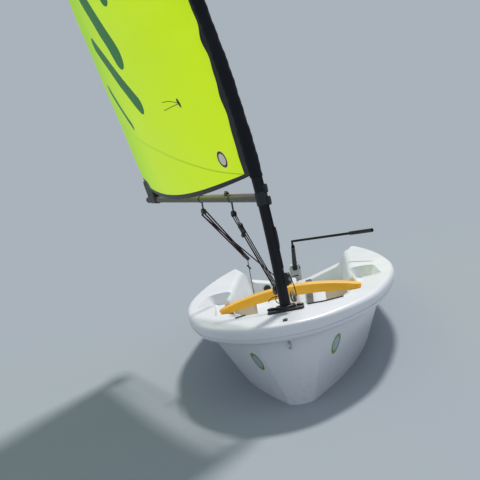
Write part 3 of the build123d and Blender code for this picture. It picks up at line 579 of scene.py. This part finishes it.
sailCut = {
    "height": (0.76, 1.30, 2.15, 3.10, 4.00, 4.88),
    "chord": (2.165, 2.030, 1.745, 1.310, 0.850, 0.190),
    "angle": (27.2, 30.5, 34.1, 37.6, 40.4, 43.0),  # degrees from fore and aft
    "camber": (0.045, 0.085, 0.090, 0.080, 0.065, 0.030),  # share of the chord
    "rise": (4.5, 6.0, 6.0, 7.0, 9.0, 12.0),  # degrees by which the chord climbs to the leech
    "soften": 0.14,
    "draft": 0.5,  # how far the belly is drawn forward
    "footRound": 0.11,
    "footFade": 0.275,
    "inner": 0.038,
    "cloth": 0.0009,
    "rows": 260,
    "columns": 170,
    # creases at the luff: their depth, how they fade and grow per metre aft, and how they come and go
    "crease": 0.014,
    "creaseWaves": ((3.4, 0.9, 1.0, 0.0), (5.9, -0.5, 0.6, 1.3)),  # waves a metre up and aft, size, phase
    "creaseFade": 2.4,
    "creaseGrow": 12.0,
    "creaseBeat": (0.4, 4.1, 1.0),  # share, radians a metre up, phase
    # folds from a corner: depth, waves a radian, middle and spread of the fan, fading out and up, growth
    "tackFolds": (0.010, 17, 0.16, 0.22, 0.0, 1.6, 3),
    "clewFolds": (0.006, 13, 0.0, inf, 2.2, 2.0, 6),
    "corner": (0.02, 0.05),  # how far below and outside the cloth a fan's centre lies
}

sleeveCut = {
    "span": (0.742, 4.915),
    "radius": 0.0362,
    "girth": 0.24,
    "rows": 460,
    "columns": 44,
    "cloth": 0.001,
    "seam": 0.018,
    "seamPower": 9,
    "seamTaper": (1.35, 0.22, 0.2),  # at the deck, loss a metre, least
    # size, waves a metre up, waves round, phase
    "ripples": ((0.0010, 7.0, 2, 0.0), (0.0008, 19.0, -3, 0.0), (0.0014, 2.3, 0, 1.0)),
}

sailLook = {
    "lime": (0.60, 0.86, 0.0),
    "luffLime": (0.66, 0.88, 0.0),
    "leechPaintedShade": (0.36, 0.68, 0.0),
    # painted shade: the leech's darker green stands for shade where the leech turns away from the light
    "cloud": (0.48, 0.76, 0.0),
    "seam": (0.40, 0.56, 0.0),
    "bar": (0.014, 0.14, 0.022),
    "tape": (0.008, 0.009, 0.011),
    "window": (0.005, 0.03, 0.008),
    "ring": ((1.0, (0.62, 0.66, 0.30)), (0.93, (0.060, 0.018, 0.010)), (0.66, (0.46, 0.46, 0.36))),
    "glow": 0.45,
    "thread": 0.0014,
    # start x, start height, end x, end height, half-width
    "seams": ((0.05, 0.775, 0.95, 1.000, 0.0035), (0.95, 1.000, 1.95, 1.230, 0.0035),
              (1.96, 0.80, 1.10, 2.90, 0.0030), (1.10, 2.90, 0.10, 4.80, 0.0030),
              (0.05, 2.00, 1.80, 2.20, 0.0030), (0.05, 3.10, 1.33, 3.30, 0.0030),
              (0.05, 4.00, 0.85, 4.12, 0.0030)),
    "bars": ((1.45, 2.62, 0.98, 1.62, 0.085), (1.12, 2.74, 0.78, 1.98, 0.060),
             (0.84, 2.82, 0.60, 2.28, 0.040), (1.46, 1.78, 0.96, 1.30, 0.060),
             (1.66, 1.48, 1.40, 1.20, 0.032)),
    "yarns": ((0.43, 1.245, 0.52, 1.268, 0.0022), (0.52, 1.268, 0.603, 1.272, 0.0022),
              (0.43, 1.240, 0.622, 1.226, 0.0022)),
    "clewPatch": (1.90, 0.760, 2.17, 0.780, 0.045),
    # centre x, centre height, half-sizes, lean
    "oval": (0.226, 0.893, 0.040, 0.053, 35.0),
    "slit": (0.423, 1.243, 0.012, 0.030, 20.0),
    # lines across the cloth: their distance from the luff at the deck, and what it loses a metre up
    "leechLine": (2.60, 0.495),
    "luffTape": (0.112, 0.045),
    "footTape": 0.782,
}


# a table column at heights h: straight between rows, softened by a running mean of five samples
def along(column, h):
    spread = np.linspace(-sailCut["soften"], sailCut["soften"], 5)
    return np.mean([np.interp(h + d, sailCut["height"], sailCut[column]) for d in spread], axis=0)


# The sail in the rig's frame: s runs 0 to 1 from sleeve to leech, h up the mast. A straight chord at its
# angle, plus a belly of 4 s (1 - s) to leeward drawn forward, minus the foot's hollow curve. Creases are
# sine waves that fade from the luff, and folds are waves of the angle seen from the tack and the clew.
def sailSurface(s, h):
    a = np.radians(along("angle", h))
    chord, camber = along("chord", h), along("camber", h)
    aft = np.stack([-np.cos(a), -np.sin(a), np.zeros_like(a)], -1)
    lee = np.stack([np.sin(a), -np.cos(a), np.zeros_like(a)], -1)
    point = mastPoint(h) + aft * (sailCut["inner"] + s * (chord - sailCut["inner"]))[..., None]
    low = h - sailCut["height"][0]
    point[..., 2] += np.tan(np.radians(along("rise", h))) * chord * s
    point[..., 2] -= sailCut["footRound"] * 4 * s * (1 - s) * np.exp(-low / sailCut["footFade"])
    x, fromLeech = s * chord, (1 - s) * chord
    out = 4 * s * (1 - s) * (1 + sailCut["draft"] * (0.5 - s)) * camber * chord
    waves = sum(size * np.sin(2 * pi * (h * up + x * back) + phase)
                for up, back, size, phase in sailCut["creaseWaves"])
    share, beat, phase = sailCut["creaseBeat"]
    waves *= np.exp(-x * sailCut["creaseFade"]) * np.minimum(x * sailCut["creaseGrow"], 1)
    out += sailCut["crease"] * waves * (1 - share + share * np.sin(h * beat + phase))
    for corner, away in (("tackFolds", x), ("clewFolds", fromLeech)):
        depth, count, middle, spread, fadeOut, fadeUp, grow = sailCut[corner]
        seen = np.arctan2(low + sailCut["corner"][0], away + sailCut["corner"][1])
        fade = np.exp(-((seen - middle) / spread) ** 2 - away * fadeOut - low * fadeUp)
        out += depth * np.sin(seen * count) * fade * np.minimum(away * grow, 1)
    return point + lee * out[..., None]


# Sailcloth: lime, darker and greener to the leech as painted shade where the leech turns from the light,
# with seams, taped edges, plain slanted bars, an oval ring and a small dark slit; a fine weave and soft
# crumple in the bump. It glows a little, as cloth lit from behind.
def sailMaterial():
    look = sailLook
    material, tree, shader = newMaterial("sailLime", look["lime"], 0.55, Sheen_Weight=0.1,
                                         Emission_Strength=look["glow"])
    x, y = uvParts(tree)
    point = objectPoint(tree)
    width, taper = look["leechLine"]
    share = maths("DIVIDE", x, minus(width, times(y, taper)), clamp=True)
    # the darker green toward the leech is painted shade from how the cloth turns from the light
    cloth = ramp(share, [(0.0, look["luffLime"]), (0.60, look["lime"]), (1.0, look["leechPaintedShade"])])
    cloud = remap(noise(point, 1.1, 3.0), 0.38, 0.66, 0.0, 0.30)
    cloth = mixColour(cloud, cloth, look["cloud"])
    for seam in look["seams"]:
        cloth = mixColour(barMask(x, y, seam), cloth, look["seam"])
    for bar in look["bars"]:
        cloth = mixColour(barMask(x, y, bar), cloth, look["bar"])
    ring = ovalReach(x, y, look["oval"])
    for reach, colour in look["ring"]:
        cloth = mixColour(below(ring, reach), cloth, colour)
    cloth = mixColour(below(ovalReach(x, y, look["slit"]), 1.0), cloth, look["window"])
    for yarn in look["yarns"]:
        cloth = mixColour(barMask(x, y, yarn), cloth, look["window"])
    width, taper = look["luffTape"]
    luff = below(plus(x, times(y, taper)), width)
    foot = below(y, look["footTape"])
    foot = maths("MAXIMUM", foot, barMask(x, y, look["clewPatch"]))
    tape = maths("MAXIMUM", foot, luff)
    cloth = mixColour(tape, cloth, look["tape"])
    feed(shader, "Base Color", cloth)
    feed(shader, "Emission Color", cloth)
    thread = 2 * pi / look["thread"]
    weave = times(sine(times(x, thread)), sine(times(y, thread)))
    bump(shader, plus(times(weave, 0.02), noise(point, 7.0, 5.0, 0.55)), 0.010, 0.5)
    return material


# black cloth: a slow change of tone under a fine crumple
def sleeveMaterial():
    material, tree, shader = newMaterial("sleeveBlack", (0.007, 0.007, 0.009), 0.70, Specular_IOR_Level=0.25)
    point = objectPoint(tree)
    tone = ramp(noise(point, 3.0, 5.0), [(0.3, (0.004, 0.005, 0.008)), (0.7, (0.009, 0.010, 0.015))])
    feed(shader, "Base Color", tone)
    bump(shader, noise(point, 26.0, 6.0, 0.6), 0.004, 0.6)
    return material


# cloth thickness by a Solidify modifier
def addWall(piece, thickness, offset):
    wall = piece.modifiers.new("wall", "SOLIDIFY")
    wall.thickness = thickness
    wall.offset = offset


# the sail as one sheet from the sleeve to the leech; its texture coordinates are metres along and up
def makeSail():
    heights = sailCut["height"]
    s, h = np.meshgrid(np.linspace(0, 1, sailCut["columns"]),
                       np.linspace(heights[0], heights[-1], sailCut["rows"]), indexing="ij")
    points = rigToBoat(sailSurface(s, h))
    mesh = gridMesh("sail_cloth", points, uv=np.stack([s * along("chord", h), h], -1))
    sail = addPiece("sail_cloth", mesh, "rig", "sailLime", ["sail"])
    addWall(sail, sailCut["cloth"], 0)
    cells = np.cross(points[1:, 1:] - points[:-1, :-1], points[1:, :-1] - points[:-1, 1:])
    print("sail area", round(float(np.linalg.norm(cells, axis=-1).sum() / 2), 3))
    return sail


# The sleeve: a ring drawn out to a flat seam on the sail's side by a power of the cosine, its radius
# rippled by sine waves along its length
def makeSleeve():
    cut = sleeveCut
    h, t = np.meshgrid(np.linspace(*cut["span"], cut["rows"]),
                       np.linspace(0, 2 * pi, cut["columns"], endpoint=False), indexing="ij")
    a = np.radians(along("angle", h)) + pi + t
    full, loss, least = cut["seamTaper"]
    radius = cut["radius"] + sum(size * np.sin(2 * pi * h * up + turns * t + phase)
                                 for size, up, turns, phase in cut["ripples"])
    radius += cut["seam"] * np.maximum(np.cos(t), 0) ** cut["seamPower"] * np.clip(full - h * loss, least, 1)
    ring = np.stack([np.cos(a), np.sin(a), np.zeros_like(a)], -1)
    girth = np.linspace(0, cut["girth"], cut["columns"] + 1)[None, :]
    uv = np.stack(np.broadcast_arrays(girth, h[:, :1]), -1)
    points = rigToBoat(mastPoint(h) + ring * radius[..., None])
    mesh = gridMesh("luff_sleeve_cloth", points, closeV=True, uv=uv)
    sleeve = addPiece("luff_sleeve_cloth", mesh, "rig", "sleeveBlack", ["luff_sleeve"])
    addWall(sleeve, cut["cloth"], -1)
    return sleeve


materials |= {"sailLime": sailMaterial(), "sleeveBlack": sleeveMaterial()}
makeSail()
makeSleeve()
print("sail and sleeve made")

# Ropes and their blocks

# radii of the lines
cordage = {"thin": 0.0026, "kicker": 0.0034, "sheet": 0.0052, "fall": 0.0045, "coil": 0.0028,
           "elastic": 0.0042, "rudder": 0.0022}


# a line through points as one smooth tube
def ropeMesh(points, kind, perSpan=8, sides=10):
    return tubeMesh(smoothPath(points, perSpan), cordage[kind], sides)


# a pulley block: two cheeks with the wheel's groove between them, turned about its pin; the profile's
# rows are shares of half the thickness and of the radius
def blockMesh(centre, radius, thick, axis):
    half = [(-1.0, 0.0005), (-1.0, 0.30), (-0.86, 0.34), (-0.86, 0.80), (-0.7, 1.0), (-0.42, 1.0),
            (-0.38, 0.92), (-0.12, 0.72)]
    profile = [(x * thick / 2, y * radius) for x, y in half]
    return turnedMesh(profile + [(-x, y) for x, y in profile[::-1]], centre, axis)


kicker = {
    "boomBlock": (0.47, -0.094),  # along the boom, above its middle
    "cam": (1.039, -0.184, 0.918),
    "low": (1.352, -0.026, 0.545),
    "block": (0.019, 0.026),  # radius, thickness
    # rounded blocks by the cam: place and size down the lines, to port and across; square
    "body": (((0.030, 0, 0.006), (0.060, 0.020, 0.026), 0.3),
             ((0.052, 0, 0.024), (0.022, 0.024, 0.030), 0.5)),
    "lowShackle": ((-0.002, 0, 0.038), 0.010, 0.0025),  # place from its block, radius, wire
    "camShackle": (0.026, 0.009, 0.0022),
    "upperLines": (-0.009, 0.004),
    "upperNarrow": 0.6,  # their distance at the cam, as a share
    "lowerLines": (-0.008, 0.0, 0.008),
    "sideLine": (0.014, 0.013),
    "reeve": (0, 0, 0.01),
    "tail": ((1.345, -0.040, 0.512), (1.300, -0.066, 0.502), (1.252, -0.086, 0.486), (1.214, -0.100, 0.469)),
    "loop": (1.345, -0.028, 0.492),
    "loopRadius": 0.022,
    "loopSide": (0.3, 0.95, 0),
    "loopGap": 0.2,  # radians
}


# The kicker: two lines from the boom's block to a cam block, three on to the mast's low block, one beside
# them all the way, and a tail that hangs in a loop, which is a circle seen at a slant.
def makeKicker():
    out, up, port = boomAxes()
    top = boomPoint(*kicker["boomBlock"])
    cam, low, loop = (np.array(kicker[k]) for k in ("cam", "low", "loop"))
    down = unit(low - cam)
    second = np.cross(down, port)
    camBody = [blockMesh(cam, *kicker["block"], port),
               *pebbleMeshes(cam, (down, port, second), kicker["body"])]
    addPiece("kicker_cam_block", camBody, "rig", "blackPlastic")
    place, *lowRing = kicker["lowShackle"]
    gap, *camRing = kicker["camShackle"]
    rings = [ringMesh(low + np.array(place), port, *lowRing), ringMesh(cam - down * gap, out, *camRing)]
    addPiece("kicker_shackles", rings, "rig", "steel")
    narrow = kicker["upperNarrow"]
    strands = [ropeMesh([top + port * d + kicker["reeve"], cam + port * d * narrow], "kicker", 14)
               for d in kicker["upperLines"]]
    strands += [ropeMesh([cam + (port + second) * d, low + port * d], "kicker", 24)
                for d in kicker["lowerLines"]]
    start, end = kicker["sideLine"]
    strands.append(ropeMesh([top + port * start, low + port * end], "kicker", 40))
    strands.append(ropeMesh(kicker["tail"], "thin", 10))
    turn = np.linspace(kicker["loopGap"], 2 * pi - kicker["loopGap"], 26)[:, None]
    circle = np.sin(turn) * kicker["loopSide"] + np.cos(turn) * upward
    strands.append(tubeMesh(loop + kicker["loopRadius"] * circle, cordage["thin"]))
    addPiece("kicker_rope", strands, "rig", "ropeGrey")


sheet = {
    "boomBlock": (1.0, -0.092),  # along the boom, above its middle
    "cam": (0.141, -0.264, 0.636),
    "ring": (0.141, -0.265, 0.570),
    "pad": (0.190, -0.270, 0.080),
    "base": (-0.350, 0.0, 0.250),
    "lines": (-0.011, 0.0, 0.011),
    "spread": (1.6, 0.7),  # the lines' distance at the boom and at the cam, as shares
    "fallFrom": 0.02,
    "acrossFrom": (0.96, 0.28, 0),
    "block": (0.021, 0.026),  # radius, thickness
    # place and size down the sheet, across it and square to both; square
    "body": (((-0.034, 0, 0), (0.064, 0.024, 0.028), 0.3),),
    # the cam's arm, in the same directions from last to first
    "arm": (((0.034, 0, 0.004), (0.060, 0.020, 0.016), 0.4),),
    "ringSize": (0.017, 0.0045),  # radius, wire
    "springFoot": 0.176,
    "springTop": 0.024,  # below the block's middle
    "springSize": (0.014, 0.0016),
    "springTurns": 5,
    "ratchet": (0.030, 0.034),  # radius, thickness
    "ratchetAxis": (0.45, 0.89, 0),
    "padPlate": (((0, 0, -0.001), (0.060, 0.030, 0.008), 0.5),),
    "padRing": ((0, 0, 0.006), (0, 1, 0), 0.010, 0.003),  # place, axis, radius, wire
}


# The mainsheet: heavy strands from the boom's block to the cam block, a ring and a thin strop down to the
# pad on the floor, and one line to the base amidships, whose block stands on a spring: a circle whose
# height grows with its turn.
def makeSheet():
    top = boomPoint(*sheet["boomBlock"])
    cam, ring, pad, base = (np.array(sheet[k]) for k in ("cam", "ring", "pad", "base"))
    down = unit(cam - top)
    across = unit(np.cross(down, sheet["acrossFrom"]))
    second = np.cross(down, across)
    wide, narrow = sheet["spread"]
    heavy = [ropeMesh([top + across * d * wide, cam + across * d * narrow], "sheet", 40)
             for d in sheet["lines"]]
    heavy.append(ropeMesh([top + across * sheet["fallFrom"], base], "fall", 60))
    strop = [ropeMesh([cam, ring], "thin", 4), ropeMesh([ring, pad], "thin", 40)]
    block = [blockMesh(cam, *sheet["block"], across),
             *pebbleMeshes(cam, (down, across, second), sheet["body"]),
             *pebbleMeshes(cam, (second, across, down), sheet["arm"]),
             ringMesh(ring, across, *sheet["ringSize"])]
    pieces = [addPiece("main_sheet", heavy, None, "ropeDark"),
              addPiece("sheet_strop", strop, None, "ropeGrey"),
              addPiece("sheet_cam_block", block, None, "blackPlastic")]
    for piece in pieces:
        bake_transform(piece)
    t = np.linspace(0, 2 * pi * sheet["springTurns"], 120)
    radius, wire = sheet["springSize"]
    rise = sheet["springFoot"] + (base[2] - sheet["springTop"] - sheet["springFoot"]) * t / t[-1]
    spring = tubeMesh(np.stack([base[0] + radius * np.cos(t), radius * np.sin(t), rise], -1), wire, 8)
    addPiece("ratchet_spring", spring, "hull", "steel")
    ratchet = [blockMesh(base, *sheet["ratchet"], sheet["ratchetAxis"])]
    addPiece("ratchet_block", ratchet, "hull", "blackPlastic")
    place, axis, radius, wire = sheet["padRing"]
    eye = pebbleMeshes(pad, np.eye(3), sheet["padPlate"]) + [ringMesh(pad + place, axis, radius, wire)]
    addPiece("sheet_pad_eye", eye, "hull", "steel")


outhaul = {
    "run": (0.10, 2.15),  # along the boom
    "height": 0.026,
    "wander": (0.003, 5),  # size, radians a metre
    "second": (0.10, 0.30, 0.52),
    "secondSide": -0.007,
    # place and size along, above and to the boom's port side; square
    "cleat": (((0.53, 0.031, 0), (0.052, 0.018, 0.020), 0.4),
              ((0.50, 0.041, 0.006), (0.016, 0.014, 0.008), 0.6),
              ((0.56, 0.041, -0.006), (0.016, 0.014, 0.008), 0.6)),
    "clew": (0.985, 0.79),  # the strap's place on the sail: share of the chord, height
    "clewForward": 0.05,
    "strapHalf": 0.085,
    "strapRadius": 0.026,
    "strapPower": 3,
    "strapThick": 0.003,
    "tackHeights": (0.66, 0.70, 0.745),
    "tackPlace": (207, 0.042),  # direction and distance from the mast
    "tackRadius": 0.006,
    "tackRing": (0.752, 207, 0.050),
    "tackRingSize": ((0.4, -0.8, 0), 0.013, 0.003),  # axis, radius, wire
}


# Lines along the boom's top from the mast to the clew, a small cleat, and the straps at clew and tack. The
# clew's strap is a circle round the boom, its upper side drawn up to the sail by a power of the sine.
def makeOuthaul():
    height, (size, beat) = outhaul["height"], outhaul["wander"]
    run = [boomPoint(d, height, size * sin(d * beat)) for d in np.linspace(*outhaul["run"], 12)]
    second = [boomPoint(d, height, outhaul["secondSide"]) for d in outhaul["second"]]
    addPiece("outhaul_rope", [ropeMesh(run, "thin", 6), ropeMesh(second, "thin")], "rig", "ropeRed")
    axes = boomAxes()
    addPiece("outhaul_cleat", pebbleMeshes(boomPoint(0), axes, outhaul["cleat"]), "rig", "blackPlastic")
    clew = rigToBoat(sailSurface(*map(np.array, outhaul["clew"]))) - boomPoint(0)
    at, lift, across = (float(clew @ axis) for axis in axes)
    at -= outhaul["clewForward"]
    radius = outhaul["strapRadius"]
    turn = np.linspace(0, 2 * pi, 41)
    high = np.clip(np.sin(turn), 0, 1) ** outhaul["strapPower"]
    around = lambda t, k: (radius * sin(t) + k * (lift - radius), radius * cos(t) + k * across)
    ring = np.array([boomPoint(at, *around(t, k)) for t, k in zip(turn, high)])
    wide = np.linspace(-outhaul["strapHalf"], outhaul["strapHalf"], 9)[None, :, None] * axes[0]
    strap = addPiece("clew_strap", gridMesh("strap", ring[:, None] + wide), "rig", "webbingBlack")
    addWall(strap, outhaul["strapThick"], 1)
    tack = [onMast(h, *outhaul["tackPlace"]) for h in outhaul["tackHeights"]]
    tack = [tubeMesh(smoothPath(tack, 8), outhaul["tackRadius"]),
            ringMesh(onMast(*outhaul["tackRing"]), *outhaul["tackRingSize"])]
    addPiece("tack_strap", tack, "rig", "webbingBlack")


makeKicker()
makeSheet()
makeOuthaul()
print("ropes made")

# Fittings on the mast, deck and stern

mastGear = {
    # height up the mast, direction, distance from its centre; size outward, up and across; square
    "cleats": ((0.165, 78, 0.034, (0.026, 0.074, 0.024), 0.4),
               (0.183, 78, 0.050, (0.020, 0.022, 0.030), 0.5),
               (0.145, 78, 0.046, (0.018, 0.020, 0.030), 0.5),
               (0.395, 66, 0.033, (0.016, 0.130, 0.014), 0.7),
               (0.604, 70, 0.036, (0.026, 0.052, 0.026), 0.5),
               (0.672, 66, 0.034, (0.026, 0.052, 0.026), 0.5)),
    "line": (0.23, 0.74),
    "lineTurn": (62, 6, 9),  # direction, its swing in degrees, radians a metre
    "lineOut": 0.0335,
    "tail": ((0.20, 84, 0.052), (0.13, 96, 0.066), (0.075, 104, 0.072), (0.045, 96, 0.062)),
}


# directions at the mast's side: outward, up the mast, and across
def mastAxes(turn):
    a = radians(turn)
    out, up = rigToBoat(np.array([[cos(a), sin(a), 0], upward])) - rigToBoat(np.zeros(3))
    return np.array([out, up, np.cross(out, up)])


# the downhaul's cleat, its fairing and guides, and the line down the mast with its loose tail
def makeMastFittings():
    cleats = [pebbleMesh(onMast(h, turn, out), mastAxes(turn), sizes, square)
              for h, turn, out, sizes, square in mastGear["cleats"]]
    addPiece("mast_cleats", cleats, "rig", "blackPlastic")
    middle, swing, beat = mastGear["lineTurn"]
    line = [onMast(h, middle + swing * sin(h * beat), mastGear["lineOut"])
            for h in np.linspace(*mastGear["line"], 14)]
    tail = [onMast(*place) for place in mastGear["tail"]]
    addPiece("downhaul_rope", [ropeMesh(line, "thin", 6), ropeMesh(tail, "thin")], "rig", "ropeGrey")


deckGear = {
    # x, y, z, width, height, lean of each coil
    "coils": ((1.374, 0.052, 0.494, 0.009, 0.023, 0.30), (1.384, 0.058, 0.490, 0.009, 0.018, 0.95),
              (1.366, 0.047, 0.500, 0.008, 0.030, -0.30)),
    "coilFoot": 0.468,
    "coilTurns": 2.2,
    "coilGrowth": 0.05,
    "coilSwing": (0.004, 1.7),  # fore and aft: size, share of the turn
    "dome": ((0, tip), (0, 0.023), (0.004, 0.025), (0.008, 0.022), (0.011, 0.010), (0.011, tip)),
    "swivels": ((-0.080, 1.0), (0.080, 0.75)),  # y, size
    "swivelAt": (1.395, 0.451),
    "elastics": (((1.361, -0.288), (1.345, -0.262), (1.335, -0.234)),
                 ((1.360, 0.120), (1.358, 0.165), (1.362, 0.200), (1.352, 0.235), (1.334, 0.278),
                  (1.312, 0.320))),
    "elasticLift": 0.003,
    "castFrom": 0.6,
}


# Coils of rope beside the mast's foot, each a widening turn; low swivels on the plate; and elastics
# that lie on the deck, their height found by casting down on the hull.
def makeDeckFittings():
    coils = []
    t = np.linspace(0, 2 * pi * deckGear["coilTurns"], 60)
    swing, beat = deckGear["coilSwing"]
    for k, (x, y, z, wide, tall, lean) in enumerate(deckGear["coils"]):
        side = wide * (1 + deckGear["coilGrowth"] * t) * np.sin(t + k)
        path = np.array((x, y, z)) + side[:, None] * (sin(lean), cos(lean), 0)
        path[:, 2] = np.maximum(path[:, 2] + tall * np.cos(t + k), deckGear["coilFoot"])
        path[:, 0] += swing * np.sin(beat * t)
        coils.append(tubeMesh(path, cordage["coil"], 8))
    addPiece("rope_coils", coils, "rig", "ropePale")
    x, z = deckGear["swivelAt"]
    swivels = [turnedMesh([(rise, size * r) for rise, r in deckGear["dome"]], (x, y, z), upward)
               for y, size in deckGear["swivels"]]
    addPiece("plate_blocks", swivels, "hull", "blackPlastic")
    surface = BVHTree.FromObject(nodes["hull"], bpy.context.evaluated_depsgraph_get())
    strips = []
    for run in deckGear["elastics"]:
        plan = smoothPath([(x, y, deckGear["castFrom"]) for x, y in run], 8)
        hits = np.array([surface.ray_cast(Vector(p), Vector((0, 0, -1)))[0] for p in plan])
        strips.append(tubeMesh(hits + (0, 0, deckGear["elasticLift"]), cordage["elastic"], 8))
    addPiece("deck_elastics", strips, "hull", "webbingBlack")


# a domed screw head
def screwMesh(centre, axis, r=0.006):
    profile = [(-0.002, tip), (-0.002, r), (0.0, r), (r * 0.35, r * 0.72), (r * 0.5, tip)]
    return turnedMesh(profile, centre, axis, 20)


sternGear = {
    "pin": (-1.848, 0.0, 0.0),
    "helm": 3.0,  # degrees
    # places ahead of the pin, to port and up; then sizes in the same directions, square
    "screws": ((-0.015, 0, 0.244), (-0.015, 0.030, 0.262), (-0.015, -0.030, 0.262), (-0.015, 0.030, 0.150),
               (-0.015, -0.030, 0.150)),
    "cheek": (((-0.072, -0.048, 0.203), (0.108, 0.014, 0.126), 0.2),),
    "plates": (((-0.0155, -0.006, 0.175), (0.004, 0.056, 0.012), 0.3),
               ((-0.060, 0.047, 0.245), (0.060, 0.014, 0.026), 0.4)),
    "line": ((-0.150, 0.046, 0.110), (-0.095, 0.050, 0.205), (-0.060, 0.050, 0.262), (0.010, 0.038, 0.286),
             (0.120, 0.026, 0.322)),
}


# screws and a slotted plate on the rudder head's front, a cheek plate and cleat at its sides, and the
# blade's line
def makeSternFittings():
    turn = radians(sternGear["helm"])
    axes = np.array(((cos(turn), sin(turn), 0), (-sin(turn), cos(turn), 0), upward))
    pin = np.array(sternGear["pin"])
    heads = [screwMesh(pin + np.array(place) @ axes, axes[0]) for place in sternGear["screws"]]
    addPiece("rudder_screws", heads, "rudder", "steel")
    addPiece("rudder_cheek", pebbleMeshes(pin, axes, sternGear["cheek"]), "rudder", "stockGrey")
    addPiece("rudder_plate", pebbleMeshes(pin, axes, sternGear["plates"]), "rudder", "blackPlastic")
    line = ropeMesh(pin + np.array(sternGear["line"]) @ axes, "rudder", 10)
    addPiece("rudder_line", line, "rudder", "ropePale")


makeMastFittings()
makeDeckFittings()
makeSternFittings()
print("fittings made")

# Toe straps

strapCut = {
    "x": (-1.47, -0.17),
    "y": 0.110,
    "width": 0.050,
    "height": 0.168,
    "sag": 0.006,
    "thick": 0.003,
    "roll": 0.0012,
    "twist": (0.002, 9),  # size, radians along the strap
    "spare": (0.001, 0.002),  # what the cut is wider and longer by
}


# a webbing strap between its anchors: a flat ribbon that sags by a half sine, rolls up at the edges by the
# square of the distance from its middle, and twists a little by a sine
def makeStrap(name, side):
    t, w = np.meshgrid(np.linspace(0, 1, 90), np.linspace(-1, 1, 13), indexing="ij")
    x = strapCut["x"][0] + t * (strapCut["x"][1] - strapCut["x"][0])
    y = side * strapCut["y"] + w * strapCut["width"] / 2
    size, beat = strapCut["twist"]
    z = strapCut["height"] - strapCut["sag"] * np.sin(pi * t) + strapCut["roll"] * w * w
    z += size * np.sin(beat * t + side) * w
    mesh = gridMesh(name, np.stack([x, y, z], -1), uv=np.stack([y, x], -1))
    strap = addPiece(name, mesh, "hull", "webbingBlack", ["toe_straps"])
    addWall(strap, strapCut["thick"], 1)


makeStrap("toe_strap_port", 1)
makeStrap("toe_strap_starboard", -1)
print("straps made")

# Stage and light

stage = {
    "reach": 60.0,
    "floor": (0.355, 0.392, 0.433),
    "sky": (0.80, 0.90, 1.00),
    "skyStrength": 0.50,
    "sunTurn": 160.0,  # direction to the key light, from the bow toward port
    "sunHeight": 52.0,
    "sunPower": 2.9,
    "sunColour": (1.0, 0.96, 0.90),
    "sunSoft": 7.0,
}


# a wide pale floor at the waterline
def makeStage():
    reach = stage["reach"]
    corners = np.array([[(x, y, 0.0) for y in (-reach, reach)] for x in (-reach, reach)])
    floor = addObject("floor", gridMesh("floor", corners))
    pale, _, _ = newMaterial("floorPale", stage["floor"], 0.9, Specular_IOR_Level=0.0)
    floor.data.materials.append(pale)


# A bluish surround and one soft warm key from above the port quarter. The floor's colour is the one that,
# lit by both, matches the surround, so that no line shows where they meet.
def makeLight():
    world = bpy.data.worlds.new("studio")
    bpy.context.scene.world = world
    world.use_nodes = True
    sky = world.node_tree.nodes["Background"].inputs
    sky["Color"].default_value = (*stage["sky"], 1)
    sky["Strength"].default_value = stage["skyStrength"]
    bpy.context.scene.view_settings.view_transform = "Standard"
    data = bpy.data.lights.new("keyLight", "SUN")
    data.energy, data.color, data.angle = stage["sunPower"], stage["sunColour"], radians(stage["sunSoft"])
    lamp = addObject("keyLight", data)
    turn, height = radians(stage["sunTurn"]), radians(stage["sunHeight"])
    back = np.array((cos(turn) * cos(height), sin(turn) * cos(height), sin(height)))
    side = unit(np.cross(upward, back))
    matrix = np.eye(4)
    matrix[:3, :3] = np.stack([side, np.cross(back, side), back], 1)
    lamp.matrix_world = Matrix(matrix.tolist())


makeStage()
makeLight()
print("stage and light set")
